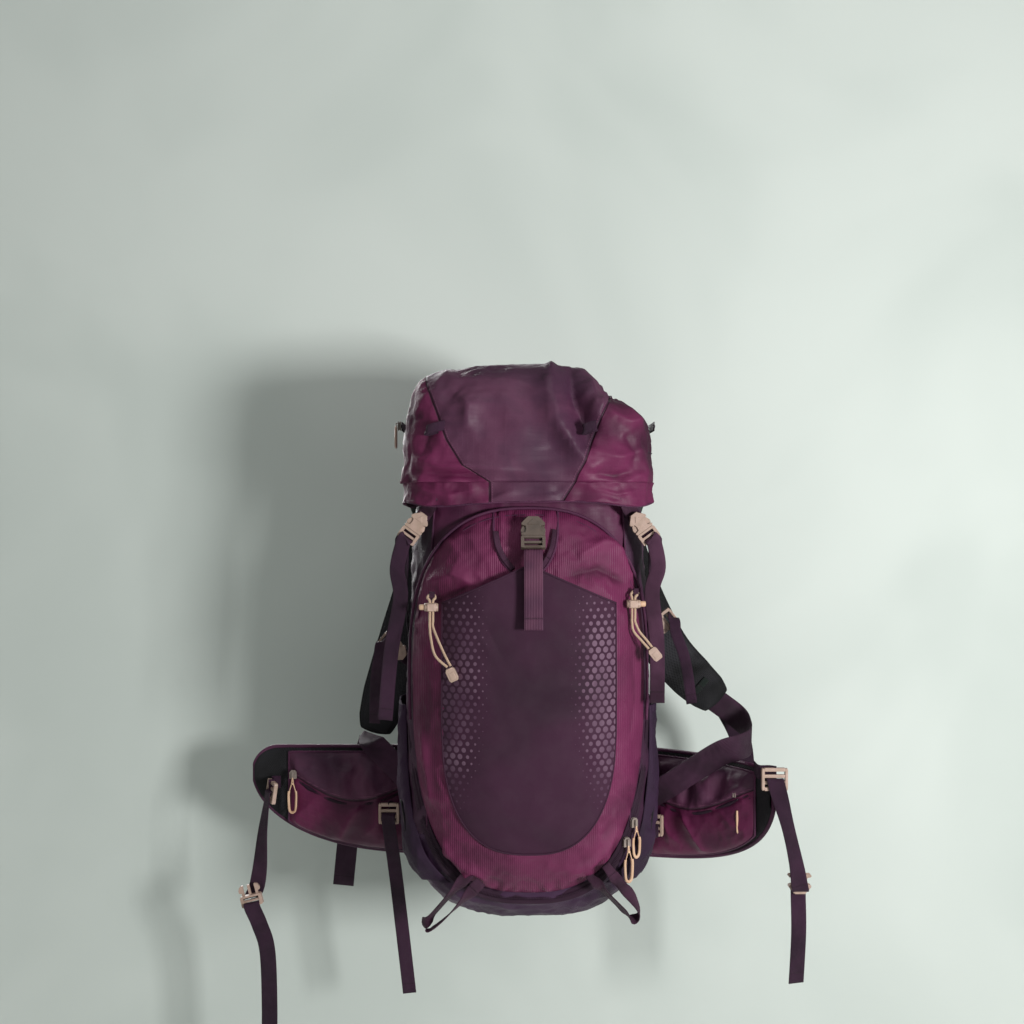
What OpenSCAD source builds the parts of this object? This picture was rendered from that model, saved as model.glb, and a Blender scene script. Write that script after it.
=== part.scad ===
// Trekking pack with a floating lid, hung from its haul loop.
// Frame: x to the right seen from the front, y towards the wearer's back, z up.
// The origin is the point of the haul loop that a hook carries.

/* [Bag] */
// Width of the main bag at its widest
bag_w = 316; // [290:1:330]
// Depth of the main bag from back to front
bag_d = 201; // [190:1:210]
// Height of the bag body with its boot
bag_h = 546; // [520:1:570]
// Height of the curved boot at the bottom
boot_h = 118; // [100:1:130]
// Thickness of the bag fabric with its lining
skin_t = 2.5; // [1.5:0.1:3.5]
// Height of the gathered collar above the bag
collar_h = 50; // [40:1:54]

/* [Lid] */
// Width of the lid
lid_w = 330; // [320:1:350]
// Depth of the lid
lid_d = 228; // [224:1:236]
// Height of the lid's dome above its hem seam
lid_h = 152; // [130:1:165]
// Depth of the skirt below the lid's hem seam
skirt_h = 27; // [18:1:30]
// Thickness of the lid fabric
lid_t = 2.4; // [1.5:0.1:3]

/* [Front pocket] */
// Width of the front pocket
pocket_w = 300; // [280:1:306]
// Height of the front pocket
pocket_h = 489; // [460:1:495]
// How far the front pocket stands out
pocket_bulge = 44; // [30:1:50]
// Width of the stretch panel on the pocket
stretch_w = 216; // [180:1:230]
// Height of the stretch panel at its middle
stretch_h = 358; // [320:1:370]
// Gap behind the top edge of the stretch panel
stash_gap = 11; // [8:1:14]

/* [Side pockets] */
// Height of the side pockets
side_pocket_h = 216; // [190:1:225]
// How far a side pocket's mouth stands off the bag
side_pocket_gap = 15; // [10:1:18]

/* [Webbing and cords] */
// Width of the front strap
front_web = 25; // [20:1:28]
// Width of the lid and compression straps
side_web = 20; // [16:1:22]
// Width of the hip belt straps
belt_web = 25; // [20:1:30]
// Width of the webbing under the shoulder straps
harness_web = 34; // [25:1:38]
// Width of the gear loops' webbing
loop_web = 15; // [12:1:18]
// Thickness of all webbing
web_t = 1.4; // [1:0.1:1.8]
// Diameter of the elastic cord
cord_d = 3.2; // [2.5:0.1:3.5]

/* [Buckles] */
// Thickness of the side-release buckles
buckle_t = 9; // [8.5:0.5:11]
// Depth of a buckle's socket
socket_l = 19; // [17:1:22]
// Travel that frees a plug from its socket

/* [Hip belt] */
// Reach of a hip wing from its hinge
wing_reach = 278; // [250:1:285]
// Height of a hip wing at its root
wing_h = 152; // [140:1:160]
// Thickness of the wing's foam
wing_t = 13; // [10:1:16]
// How far the wing pockets stand out
wing_bulge = 24; // [16:1:28]

/* [Back] */
// Thickness of the back foam pads
pad_t = 16; // [10:1:20]
// Width of a shoulder strap's foam
shoulder_w = 62; // [50:1:70]
// Thickness of a shoulder strap's foam
shoulder_t = 14; // [10:1:16]
// Width of the haul loop's webbing
haul_web = 20; // [16:1:22]

/* [Hidden] */

plum = "#6a2b4e";
dusky = "#5e3a4f";
dark = "#3a2036";
black = "#1c1b1d";
tan = "#bba69b";
grey = "#77695f";
web_colour = "#5a3850";

gap = 0.3;                     // between sewn or seated pieces
panel_n = 3.4;                 // squareness of the bag's plan
lid_n = 3.6;                   // squareness of the lid's plan
pocket_n = 2.6;                // squareness of the front pocket's outline

bag_top = -10;
bag_bottom = bag_top - bag_h;
boot_top = bag_bottom + boot_h;
bag_belly = bag_top - 320;     // height at which the bag is widest
back_y = -11;                  // the bag's back face
bag_y = back_y - bag_d / 2;

// ---- shape functions ----
function spow(v, p) = sign(v) * pow(abs(v), p);
function unit(v) = v / norm(v);
function lerp(a, b, t) = a + (b - a) * t;
function clamp01(t) = min(1, max(0, t));
function arch(x, n) = pow(max(0, 1 - pow(abs(x), n)), 1 / n);

// half width and half depth of the bag at height z
function belly(z) = 1 - 0.085 * pow((z - bag_belly) / (bag_top - bag_belly), 2);
function bag_a(z) = bag_w / 2 * belly(z) * arch(max(0, boot_top - z) / (boot_h * 1.04), 2.4);
function bag_b(z) = bag_d / 2 * (0.94 + 0.06 * belly(z)) * arch(max(0, boot_top - z) / (boot_h * 1.1), 2.6);
function bag_cy(z) = bag_y + (bag_d / 2 - bag_b(z)) * (z < boot_top ? 0.3 : 1);
// point of the bag's skin at plan angle t and height z, moved inwards by off
function bag_pt(t, z, off) = [
    (bag_a(z) - off) * spow(cos(t), 2 / panel_n),
    bag_cy(z) + (bag_b(z) - off) * spow(sin(t), 2 / panel_n),
    z];
function bag_front_y(x, z) = bag_cy(z) - bag_b(z) * arch(x / bag_a(z), panel_n);

// front pocket
pocket_top = bag_top - 12;
pocket_bottom = pocket_top - pocket_h;
pocket_belly = pocket_top - 213;
pocket_t = 3;
function pocket_r(x, z) = let (h = z > pocket_belly ? pocket_top - pocket_belly : pocket_belly - pocket_bottom)
    pow(pow(abs(x) / (pocket_w / 2), pocket_n) + pow(abs(z - pocket_belly) / h, pocket_n), 1 / pocket_n);
function pocket_y(x, z) = bag_front_y(x, z) - gap - pocket_t
    - pocket_bulge * pow(max(0, 1 - pow(min(1, pocket_r(x, z)), 3.2)), 0.8);

// stretch panel
stretch_top = pocket_top - 71;
stretch_bottom = stretch_top - stretch_h;
stretch_fall = 48;             // drop of its top edge towards the sides
stretch_belly = stretch_top - 190;
stretch_t = 1.4;
stretch_seat = 1.5;            // the panel lies this far off the curved pocket
function stretch_hi(x) = stretch_top - stretch_fall * abs(x) / (stretch_w / 2);
function stretch_lo(x) = stretch_belly - (stretch_belly - stretch_bottom) * arch(x / (stretch_w / 2), pocket_n);
function stretch_y(x, z) = let (v = clamp01((z - stretch_lo(x)) / (stretch_hi(x) - stretch_lo(x))))
    pocket_y(x, z) - stretch_seat - stretch_t - stash_gap * (1 - pow(abs(x) / (stretch_w / 2), 4)) * v;

// lid
seam_z = 9;                    // hem seam of the lid above the haul loop
hinge_y = -12;
hinge_z = 6;
lid_rear = hinge_y - 2;
lid_y = lid_rear - lid_d / 2;
dome_z = seam_z + 36;          // the lid's walls stand straight up to here
function dome(z) = arch(max(0, z - dome_z) / (lid_h - (dome_z - seam_z)) * 0.985, 3);
function lid_a(z) = lid_w / 2 * dome(z);
function lid_b(z) = lid_d / 2 * dome(z);
function lid_pt(t, z, off) = [
    (lid_a(z) - off) * spow(cos(t), 2 / lid_n),
    lid_y + (lid_b(z) - off) * spow(sin(t), 2 / lid_n),
    z];
lining_z = bag_top + collar_h + 8;

// ---- solids from point grids ----
// faces between rows of points; rows run bottom to top and left to right seen from outside
function grid_faces(rows, cols, first, wrap, flip) = [
    for (r = [0:rows - 2]) for (c = [0:cols - (wrap ? 1 : 2)])
        let (d = (c + 1) % cols, p = first + r * cols + c, q = first + r * cols + d)
        for (f = [[p, p + cols, q + cols], [p, q + cols, q]]) flip ? [f[0], f[2], f[1]] : f];
function edge_faces(a, b) = [for (i = [0:len(a) - 2])
    each [[a[i], a[i + 1], b[i + 1]], [a[i], b[i + 1], b[i]]]];

// a sheet between an outer and an inner grid
module sheet(outer, inner) {
    rows = len(outer);
    cols = len(outer[0]);
    o = rows * cols;
    low = [for (c = [0:cols - 1]) c];
    high = [for (c = [cols - 1:-1:0]) (rows - 1) * cols + c];
    left = [for (r = [rows - 1:-1:0]) r * cols];
    right = [for (r = [0:rows - 1]) r * cols + cols - 1];
    polyhedron(concat([for (r = outer) each r], [for (r = inner) each r]),
        concat(grid_faces(rows, cols, 0, false, false), grid_faces(rows, cols, o, false, true),
            edge_faces(low, low + [for (i = low) o]), edge_faces(high, high + [for (i = high) o]),
            edge_faces(left, left + [for (i = left) o]), edge_faces(right, right + [for (i = right) o])),
        convexity = 6);
}

// a closed wall between an outer and an inner grid of rings, with open ends
module wall(outer, inner) {
    rows = len(outer);
    cols = len(outer[0]);
    o = rows * cols;
    low = [for (c = [0:cols]) c % cols];
    high = [for (c = [cols:-1:0]) (rows - 1) * cols + c % cols];
    polyhedron(concat([for (r = outer) each r], [for (r = inner) each r]),
        concat(grid_faces(rows, cols, 0, true, false), grid_faces(rows, cols, o, true, true),
            edge_faces(low, low + [for (i = low) o]), edge_faces(high, high + [for (i = high) o])),
        convexity = 6);
}

// a solid through rings of points, capped at both ends
module skin(rings) {
    rows = len(rings);
    cols = len(rings[0]);
    o = rows * cols;
    top = o + 1;
    polyhedron(concat([for (r = rings) each r], [mean(rings[0]), mean(rings[rows - 1])]),
        concat(grid_faces(rows, cols, 0, true, false),
            [for (c = [0:cols - 1]) [c, (c + 1) % cols, o]],
            [for (c = [0:cols - 1]) [o - cols + (c + 1) % cols, o - cols + c, top]]),
        convexity = 6);
}
function mean(pts, i = 0) = i == len(pts) ? [0, 0, 0] : pts[i] / len(pts) + mean(pts, i + 1);

// a bowl or dome: outer rings, inner rings and both ends capped on the small side, at the first ring
module bowl(outer, inner) {
    rows = len(outer);
    cols = len(outer[0]);
    o = rows * cols;
    high = [for (c = [cols:-1:0]) (rows - 1) * cols + c % cols];
    polyhedron(concat([for (r = outer) each r], [for (r = inner) each r], [mean(outer[0]), mean(inner[0])]),
        concat(grid_faces(rows, cols, 0, true, false), grid_faces(rows, cols, o, true, true),
            edge_faces(high, high + [for (i = high) o]),
            [for (c = [0:cols - 1]) [c, (c + 1) % cols, 2 * o]],
            [for (c = [0:cols - 1]) [o + (c + 1) % cols, o + c, 2 * o + 1]]),
        convexity = 6);
}

function tangent(p, i) = unit(p[min(len(p) - 1, i + 1)] - p[max(0, i - 1)]);
// webbing along a path; across holds the direction of its width at each point
module ribbon(path, across, w, t) {
    skin([for (i = [0:len(path) - 1])
        let (d = tangent(path, i), raw = is_list(across[0]) ? across[i] : across,
            u = unit(raw - d * (raw * d)), v = cross(d, u))
        [for (k = [[1, 1], [-1, 1], [-1, -1], [1, -1]]) path[i] + u * k[0] * w / 2 + v * k[1] * t / 2]]);
}
// a pad along a path with its own width at each point
module pad(path, across, widths, t) {
    skin([for (i = [0:len(path) - 1])
        let (d = tangent(path, i), u = unit(across - d * (across * d)), v = cross(d, u), w = widths[i] / 2)
        [for (k = [[1, 0.35], [0.9, 0.9], [0.7, 1], [-0.7, 1], [-0.9, 0.9], [-1, 0.35],
                   [-1, -0.35], [-0.9, -0.9], [-0.7, -1], [0.7, -1], [0.9, -0.9], [1, -0.35]])
            path[i] + u * k[0] * w + v * k[1] * t / 2]]);
}
// a cord along a path that never runs along ref
module cord(path, d, ref = [0, 1, 0], sides = 8) {
    skin([for (i = [0:len(path) - 1])
        let (t = tangent(path, i), u = unit(cross(ref, t)), v = cross(t, u))
        [for (k = [0:sides - 1]) path[i] + (u * cos(k * 360 / sides) + v * sin(k * 360 / sides)) * d / 2]]);
}
// points of a smooth curve through a list of points
function smooth(p, n = 4) = [for (i = [0:len(p) - 2]) for (k = [0:n - 1]) spline_pt(p, i, k / n), p[len(p) - 1]];
function spline_pt(p, i, t) = let (a = p[max(0, i - 1)], b = p[i], c = p[i + 1], d = p[min(len(p) - 1, i + 2)])
    0.5 * (2 * b + (c - a) * t + (2 * a - 5 * b + 4 * c - d) * t * t + (3 * b - a - 3 * c + d) * t * t * t);

module mirrored(side) { if (side < 0) mirror([1, 0, 0]) children(); else children(); }
module both() { children(); mirror([1, 0, 0]) children(); }
// rounded plate in the x-z plane, from y0 towards +y
module plate(x0, x1, z0, z1, r, y0, t) {
    translate([0, y0 + t, 0]) rotate([90, 0, 0]) linear_extrude(t) round_rect(x0, x1, z0, z1, r);
}
module round_rect(x0, x1, y0, y1, r) {
    translate([x0 + r, y0]) square([x1 - x0 - 2 * r, y1 - y0]);
    translate([x0, y0 + r]) square([x1 - x0, y1 - y0 - 2 * r]);
    for (x = [x0 + r, x1 - r]) for (y = [y0 + r, y1 - r]) translate([x, y]) circle(r, $fn = 32);
}

// ---- back and frame ----
sheet_y = back_y + 0.4;
stay_y = sheet_y + 1.6 + gap;
foam_y = stay_y + 3 + gap;
yoke_bottom = -72;
panel_bottom = -352;
lumbar_top = panel_bottom - 4;
lumbar_bottom = lumbar_top - 146;
lumbar_w = 216;
foam_base = 5;

module back_panel() color(black) {
    plate(-130, 130, panel_bottom, yoke_bottom - gap, 18, foam_y, foam_base);
    both() plate(30, 108, panel_bottom + 10, yoke_bottom - 12, 22, foam_y + foam_base - 1, pad_t);
}
module frame_sheet() color("#2b2b2e") plate(-120, 120, bag_bottom + 140, -34, 20, sheet_y, 1.6);
module frame_stays() color("#b9bbbe") both() plate(63, 77, bag_bottom + 110, -40, 5, stay_y, 3);
module lumbar_pad() color(black) {
    plate(-lumbar_w / 2, lumbar_w / 2, lumbar_bottom, lumbar_top, 24, foam_y, pad_t + 8);
}
yoke_t = 11;
module shoulder_yoke() color(black) translate([0, foam_y + yoke_t, 0]) rotate([90, 0, 0]) linear_extrude(yoke_t)
    polygon([[-150, yoke_bottom], [150, yoke_bottom], [172, -8], [174, 16], [148, 18], [124, -18], [50, -32],
        [-50, -32], [-124, -18], [-148, 18], [-174, 16], [-172, -8]]);
haul_r = 30;
haul_path = concat([[-haul_r, 0, -32 + gap]],
    [for (a = [180:-15:0]) [haul_r * cos(a), 0, web_t - haul_r - web_t / 2 + haul_r * sin(a)]],
    [[haul_r, 0, -32 + gap]]);
module haul_loop() color(web_colour) ribbon(haul_path, [0, 1, 0], haul_web, web_t);

// ---- bag ----
// a sewn panel of the bag between two plan angles
module bag_patch(t0, t1, nt = 10, nz = 12) {
    grid = function (off) [for (j = [0:nz]) [for (i = [0:nt])
        bag_pt(lerp(t0, t1, i / nt), lerp(boot_top, bag_top, j / nz), off)]];
    sheet(grid(0), grid(skin_t));
}
module bag_front() color(plum) bag_patch(225, 315);
module bag_sides() color(dusky) {
    bag_patch(-45, 45);
    bag_patch(135, 225);
}
module bag_back() color(black) bag_patch(45, 135);
boot_ring = [for (i = [0:39]) i * 9];
module bag_boot() color(dark) {
    levels = [for (k = [0:9]) lerp(bag_bottom, boot_top, 1 - cos(k * 10))];
    bowl([for (z = levels) [for (t = boot_ring) bag_pt(t, z, 0)]],
        [for (z = levels) [for (t = boot_ring)
            let (p = bag_pt(t, z, skin_t)) [p.x, p.y, lerp(z + skin_t, z, clamp01((z - bag_bottom) / boot_h))]]]);
}
patch_half = bag_a(bag_bottom) * 0.76;
patch_deep = bag_b(bag_bottom) * 0.76;
patch_t = 2;
module base_patch() color(dark) translate([0, bag_cy(bag_bottom), bag_bottom - patch_t]) linear_extrude(patch_t)
    round_rect(-patch_half, patch_half, -patch_deep, patch_deep, 10);

collar_t = 1.6;
collar_hem = 14;               // how far the collar reaches down inside the bag
collar_top = bag_top + collar_h;
function collar_off(z) = skin_t + gap + (z > bag_top ? 22 * pow((z - bag_top) / collar_h, 1.4) : 0);
module collar() color(dusky) {
    levels = [bag_top - collar_hem, for (k = [0:6]) lerp(bag_top, collar_top, k / 6)];
    wall([for (z = levels) [for (t = boot_ring) bag_pt(t, min(z, bag_top), collar_off(z)) + [0, 0, max(0, z - bag_top)]]],
        [for (z = levels) [for (t = boot_ring) bag_pt(t, min(z, bag_top), collar_off(z) + collar_t) + [0, 0, max(0, z - bag_top)]]]);
}
// ---- front pocket, stretch panel and zip ----
module front_pocket() color(plum) {
    nr = 9;
    na = 44;
    grid = function (dy) [for (k = [nr:-1:1]) [for (i = [0:na - 1])
        let (a = 360 * i / na, r = pow(k / nr, 0.75),
            x = r * pocket_w / 2 * spow(cos(a), 2 / pocket_n),
            h = sin(a) > 0 ? pocket_top - pocket_belly : pocket_belly - pocket_bottom,
            z = pocket_belly + r * h * spow(sin(a), 2 / pocket_n))
        [x, pocket_y(x, z) + dy, z]]];
    outer = grid(0);
    inner = grid(pocket_t);
    cap = [0, pocket_y(0, pocket_belly), pocket_belly];
    o = nr * na;
    rim = [for (i = [0:na]) i % na];
    polyhedron(concat([for (r = outer) each r], [for (r = inner) each r], [cap, cap + [0, pocket_t, 0]]),
        concat(grid_faces(nr, na, 0, true, false), grid_faces(nr, na, o, true, true),
            edge_faces(rim, rim + [for (i = rim) o]),
            [for (c = [0:na - 1]) [o - na + (c + 1) % na, o - na + c, 2 * o]],
            [for (c = [0:na - 1]) [2 * o - na + c, 2 * o - na + (c + 1) % na, 2 * o + 1]]),
        convexity = 6);
}
module stretch_panel() color(dark) {
    nx = 18;
    nz = 16;
    grid = function (dy) [for (j = [0:nz]) [for (i = [0:nx])
        let (x = lerp(-1, 1, i / nx) * stretch_w / 2 * 0.999, z = lerp(stretch_lo(x), stretch_hi(x), j / nz))
        [x, stretch_y(x, z) + dy, z]]];
    sheet(grid(0), grid(stretch_t));
}
// zip tape round the lower outline of the front pocket, lying on the bag
zip_w = 14;
zip_t = 1.5;
zip_edge = 1.03;               // its middle line, as a multiple of the pocket's outline
zip_from = 170;                // where it starts and ends, as angles round the outline
zip_to = 370;
function bag_normal(x, y, z) = unit([spow(x / bag_a(z), panel_n - 1) / bag_a(z),
    spow((y - bag_cy(z)) / bag_b(z), panel_n - 1) / bag_b(z), 0]);
function zip_pt(a) = let (h = sin(a) > 0 ? pocket_top - pocket_belly : pocket_belly - pocket_bottom,
        x = zip_edge * pocket_w / 2 * spow(cos(a), 2 / pocket_n),
        z = pocket_belly + h * zip_edge * spow(sin(a), 2 / pocket_n),
        y = bag_front_y(x, z))
    [x, y, z] + bag_normal(x, y, z) * (gap + zip_t + 3.5 * clamp01((boot_top + 20 - z) / 60));
module panel_zip() color(dark) {
    path = [for (k = [0:40]) zip_pt(lerp(zip_from, zip_to, k / 40))];
    ribbon(path, [for (i = [0:len(path) - 1]) cross(tangent(path, i), bag_normal(path[i].x, path[i].y, path[i].z))],
        zip_w, zip_t);
}
// ---- lid ----
ring48 = [for (i = [0:47]) i * 7.5];
dome_levels = [for (k = [0:12]) seam_z + lid_h * sin(k * 7.5)];
module lid_shell() color(plum) {
    outer = [for (z = dome_levels) [for (t = ring48) lid_pt(t, z, 0)]];
    inner = [for (z = dome_levels) [for (t = ring48) let (p = lid_pt(t, z, lid_t))
        [p.x, p.y, lerp(z, z - lid_t, clamp01((z - dome_z) / (seam_z + lid_h - dome_z)))]]];
    rows = len(outer);
    cols = 48;
    o = rows * cols;
    low = [for (c = [0:cols]) c % cols];
    polyhedron(concat([for (r = outer) each r], [for (r = inner) each r],
            [mean(outer[rows - 1]), mean(inner[rows - 1])]),
        concat(grid_faces(rows, cols, 0, true, false), grid_faces(rows, cols, o, true, true),
            edge_faces(low, low + [for (i = low) o]),
            [for (c = [0:cols - 1]) [o - cols + (c + 1) % cols, o - cols + c, 2 * o]],
            [for (c = [0:cols - 1]) [2 * o - cols + c, 2 * o - cols + (c + 1) % cols, 2 * o + 1]]),
        convexity = 6);
}

lid_ring = [for (i = [0:36]) 155 + i * 230 / 36];
module lid_skirt() color(plum) {
    levels = [seam_z - gap - skirt_h, seam_z - gap - skirt_h / 2, seam_z - gap];
    sheet([for (z = levels) [for (t = lid_ring) lid_pt(t, z, 0)]],
        [for (z = levels) [for (t = lid_ring) lid_pt(t, z, lid_t)]]);
}
module lid_lining() color(dusky) {
    bowl([for (r = [0.25, 0.5, 0.75, 1]) [for (t = ring48) ring_at(r, t, lining_z - 1)]],
        [for (r = [0.25, 0.5, 0.75, 1]) [for (t = ring48) ring_at(r, t, lining_z)]]);
}
function ring_at(r, t, z) = let (p = lid_pt(t, lining_z, lid_t + gap)) [p.x * r, lid_y + (p.y - lid_y) * r, z];
lid_zip_z = 84;
lid_zip_w = 12;
module lid_zip() color(dark) {
    path = [for (k = [0:28]) lid_pt(lerp(185, -5, k / 28), lid_zip_z, -0.8 - zip_t / 2)];
    ribbon(path, [0, 0, 1], lid_zip_w, zip_t);
}
loop_t = 1.6;
// small flat loop of webbing standing off the lid's front
module lid_loops() color(web_colour) for (side = [-1, 1]) {
    x = side < 0 ? -118 : 74;
    root = bag_loop_y(x);
    w = 11;
    ribbon([[x - 12, bag_loop_y(x - 12) - 1.2, 78], [x - 8, root - 5, 78], [x, root - 8, 78], [x + 8, root - 5, 78],
        [x + 12, bag_loop_y(x + 12) - 1.2, 78]], [0, 0, 1], w, loop_t);
}
function bag_loop_y(x) = lid_y - lid_b(78) * arch(x / lid_a(78), lid_n);

// ---- side-release buckles ----
// Local frame: x across, -y outwards, z along the webbing; the plug comes out towards -z.
function buckle_w(web) = web + 9;
prong_t = 4.4;
slot_h = 3.6;
bar_h = 3;
plug_l = 3 * bar_h + 2 * slot_h;
module receiver(web) {
    bw = buckle_w(web);
    difference() {
        translate([-bw / 2, -buckle_t / 2, 0]) cube([bw, buckle_t, socket_l + slot_h + bar_h]);
        translate([-bw / 2 + 2.5, -prong_t / 2 - gap, -1]) cube([bw - 5, prong_t + 2 * gap, socket_l - 2]);
        for (side = [-1, 1]) translate([side * bw / 2 - 3, -prong_t / 2 - gap, 6]) cube([6, prong_t + 2 * gap, 9]);
        translate([-web / 2 - 0.6, -buckle_t, socket_l]) cube([web + 1.2, buckle_t * 2, slot_h]);
    }
}
module plug(web) {
    bw = buckle_w(web);
    difference() {
        translate([-bw / 2, -buckle_t / 2, -plug_l - gap]) cube([bw, buckle_t, plug_l]);
        for (k = [0, 1]) translate([-web / 2 - 0.6, -buckle_t, -plug_l - gap + bar_h + k * (slot_h + bar_h)])
            cube([web + 1.2, buckle_t * 2, slot_h]);
    }
    for (x = [-bw / 2 + 3, -1.5, bw / 2 - 6]) translate([x, -prong_t / 2, -gap - 0.5]) cube([3, prong_t, socket_l - 4]);
}
// a point of a buckle's local frame, turned about y by phi and put at place
function placed(place, phi, p) = place + [p.x * cos(phi) + p.z * sin(phi), p.y, -p.x * sin(phi) + p.z * cos(phi)];
low_slot = -gap - plug_l + bar_h + slot_h / 2;
high_slot = low_slot + slot_h + bar_h;

lid_buckle_x = 147;
lid_buckle_y = -208;
lid_buckle_z = -51;
lid_buckle_turn = 36;
function lid_buckle(side) = [side * lid_buckle_x, lid_buckle_y, lid_buckle_z];
module at_lid_buckle(side) translate(lid_buckle(side)) rotate([0, -side * lid_buckle_turn, 0]) children();
// the receivers with the webbing that holds them to the corners of the skirt
module lid_receivers() for (side = [-1, 1]) {
    color(tan) at_lid_buckle(side) receiver(side_web);
    at = function (p) placed(lid_buckle(side), -side * lid_buckle_turn, p);
    slot_z = socket_l + slot_h / 2;
    turned = [cos(lid_buckle_turn), 0, side * sin(lid_buckle_turn)];
    corner = [0.8, side * 0.58, 0];
    inset = lid_t + web_t / 2 + 2.7;
    color(web_colour) ribbon([at([0, -3.6, slot_z]), at([0, 0, slot_z]), at([0, 5.8, slot_z]), at([0, 6.6, slot_z + 6]),
        [side * 122, lid_pt_y(122) + inset + 3, seam_z - skirt_h + 3], [side * 120, lid_pt_y(120) + inset, seam_z - 8]],
        [turned, turned, turned, turned, corner, corner], side_web - 2, web_t);
}
function lid_pt_y(x) = lid_y - lid_d / 2 * arch(x / (lid_w / 2), lid_n);
module lid_plug(side) color(tan) at_lid_buckle(side) plug(side_web);
// tail that hangs from a lid plug
module lid_tail(side, foot) {
    at = function (p) placed(lid_buckle(side), -side * lid_buckle_turn, p);
    turned = [cos(lid_buckle_turn), 0, side * sin(lid_buckle_turn)];
    path = smooth([at([0, 2, low_slot]), at([0, -5.8, low_slot - 0.4]), at([0, -6.5, low_slot - 7]),
        lerp(at([0, -6, -plug_l - 12]), foot, 0.12), lerp(at([0, -6, -plug_l]), foot, 0.5), foot], 4);
    n = len(path) - 1;
    color(web_colour) ribbon(path, [for (i = [0:n]) lerp(turned, [1, 0, 0], clamp01((i - 6) / 5))], side_web - 1, web_t);
}
left_foot = [-182, -203, -292];
right_foot = [163, -206, -270];

front_turn = 24;
front_buckle = [5, -253, -58];
module at_front_buckle() translate(front_buckle) rotate([-front_turn, 0, 0]) children();
module front_receiver() {
    color(grey) at_front_buckle() receiver(front_web);
    slot_z = socket_l + slot_h / 2;
    color(web_colour) at_front_buckle() ribbon([[0, -3.6, slot_z], [0, 0, slot_z], [0, 9, slot_z], [0, 13.8, slot_z + 3],
        [0, 12.4, slot_z + 10]], [1, 0, 0], front_web, web_t);
}
module front_plug() color(grey) at_front_buckle() plug(front_web);
front_tail_l = 96;
module front_tail() color(web_colour) {
    at = function (y, z) [front_buckle.x, front_buckle.y + y * cos(front_turn) + z * sin(front_turn),
        front_buckle.z - y * sin(front_turn) + z * cos(front_turn)];
    foot = front_buckle + [0, -32, -plug_l - front_tail_l];
    ribbon([at(1.5, low_slot), at(-2, low_slot), at(-6.2, low_slot - 0.3), at(-6.6, low_slot - 7),
        [foot.x, foot.y + 8, foot.z + 70], [foot.x, foot.y + 4, foot.z + 38], foot], [1, 0, 0], front_web - 1, web_t);
}

// compression buckles at the sides
side_buckle_turn = 128;
function side_buckle(side) = side < 0 ? [-186, -98, -209] : [186, -98, -177];
module at_side_buckle(side) translate(side_buckle(side)) rotate([0, -side * side_buckle_turn, 0]) children();
module side_receivers() for (side = [-1, 1]) color(tan) at_side_buckle(side) translate([0, 0, -0.01]) receiver(side_web);
module side_plug(side) {
    foot = side_buckle(side) + (side < 0 ? [-24, 26, -110] : [42, 34, -116]);
    at = function (p) placed(side_buckle(side), -side * side_buckle_turn, p);
    color(tan) at_side_buckle(side) plug(side_web);
    turned = [cos(side_buckle_turn), 0, side * sin(side_buckle_turn)];
    start = at([0, -5.6, low_slot]);
    color(web_colour) ribbon([at([0, 1, low_slot]), start, start + [side, -4.5, -1], start + [side * 3, -7.5, -7],
        start + [side * 5, -6, -22], lerp(start, foot, 0.5) + [side * 4, -4, 0], foot],
        concat([-turned, -turned, lerp(-turned, [1, 0, 0], 0.6)], [for (k = [0:3]) [1, 0, 0.05]]), side_web - 5, web_t);
}
// sewn webbing at the bag's sides that holds the receivers
module side_webbing() color(web_colour) for (side = [-1, 1]) {
    bar = placed(side_buckle(side), -side * side_buckle_turn, [0, 0, socket_l + slot_h / 2]);
    z = bar.z - 8;
    a = bag_a(z) + web_t / 2 + 0.6;
    turned = [-side * 0.6, 0, 0.8];
    ribbon([bar + [0, -3.6, 0], bar, bar + [0, 5.6, 0], [side * (a + 3), bar.y + 14, z], [side * a, bar.y + 26, z],
        [side * a, bar.y + 44, z]], [turned, turned, turned, [0, 0, 1], [0, 0, 1], [0, 0, 1]], side_web - 1, web_t);
}
// webbing from the bag's sides to the lid plugs and side plugs
module strap_runs() color(web_colour) for (side = [-1, 1]) {
    at = function (p) placed(lid_buckle(side), -side * lid_buckle_turn, p);
    z1 = -150;
    z2 = -206;
    z3 = -228;
    turned = [cos(lid_buckle_turn), 0, side * sin(lid_buckle_turn)];
    seat = web_t / 2 + 0.5;
    path = smooth([at([0, 0, high_slot]), at([0, 7.8, high_slot]), at([0, 8.6, high_slot - 8]), at([0, 9.4, -plug_l - 8]),
        [side * (bag_a(z1) + 5), -150, z1], [side * (bag_a(z2) + seat + 0.4), -128, z2], [side * (bag_a(z3) + seat), -126, z3]], 3);
    n = len(path) - 1;
    ribbon(path, [for (i = [0:n]) lerp(turned, [0, side, 0], clamp01((i - 9) / 4))], side_web - 1, web_t);
}

// ---- elastic cords ----
toggle_r = 5.6;
toggle_l = 17;
button_r = 3.8;
button_l = 7;
button_travel = 3;
strand = 2.1;                  // half the spacing of a cord's two strands
left_toggle = [-121, -239, -146];
right_toggle = [131, -224.5, -143];
function toggle_at(side) = side < 0 ? left_toggle : right_toggle;
left_end = [-94.5, -260.5, -226];
right_end = [157.5, -225, -205];
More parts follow.
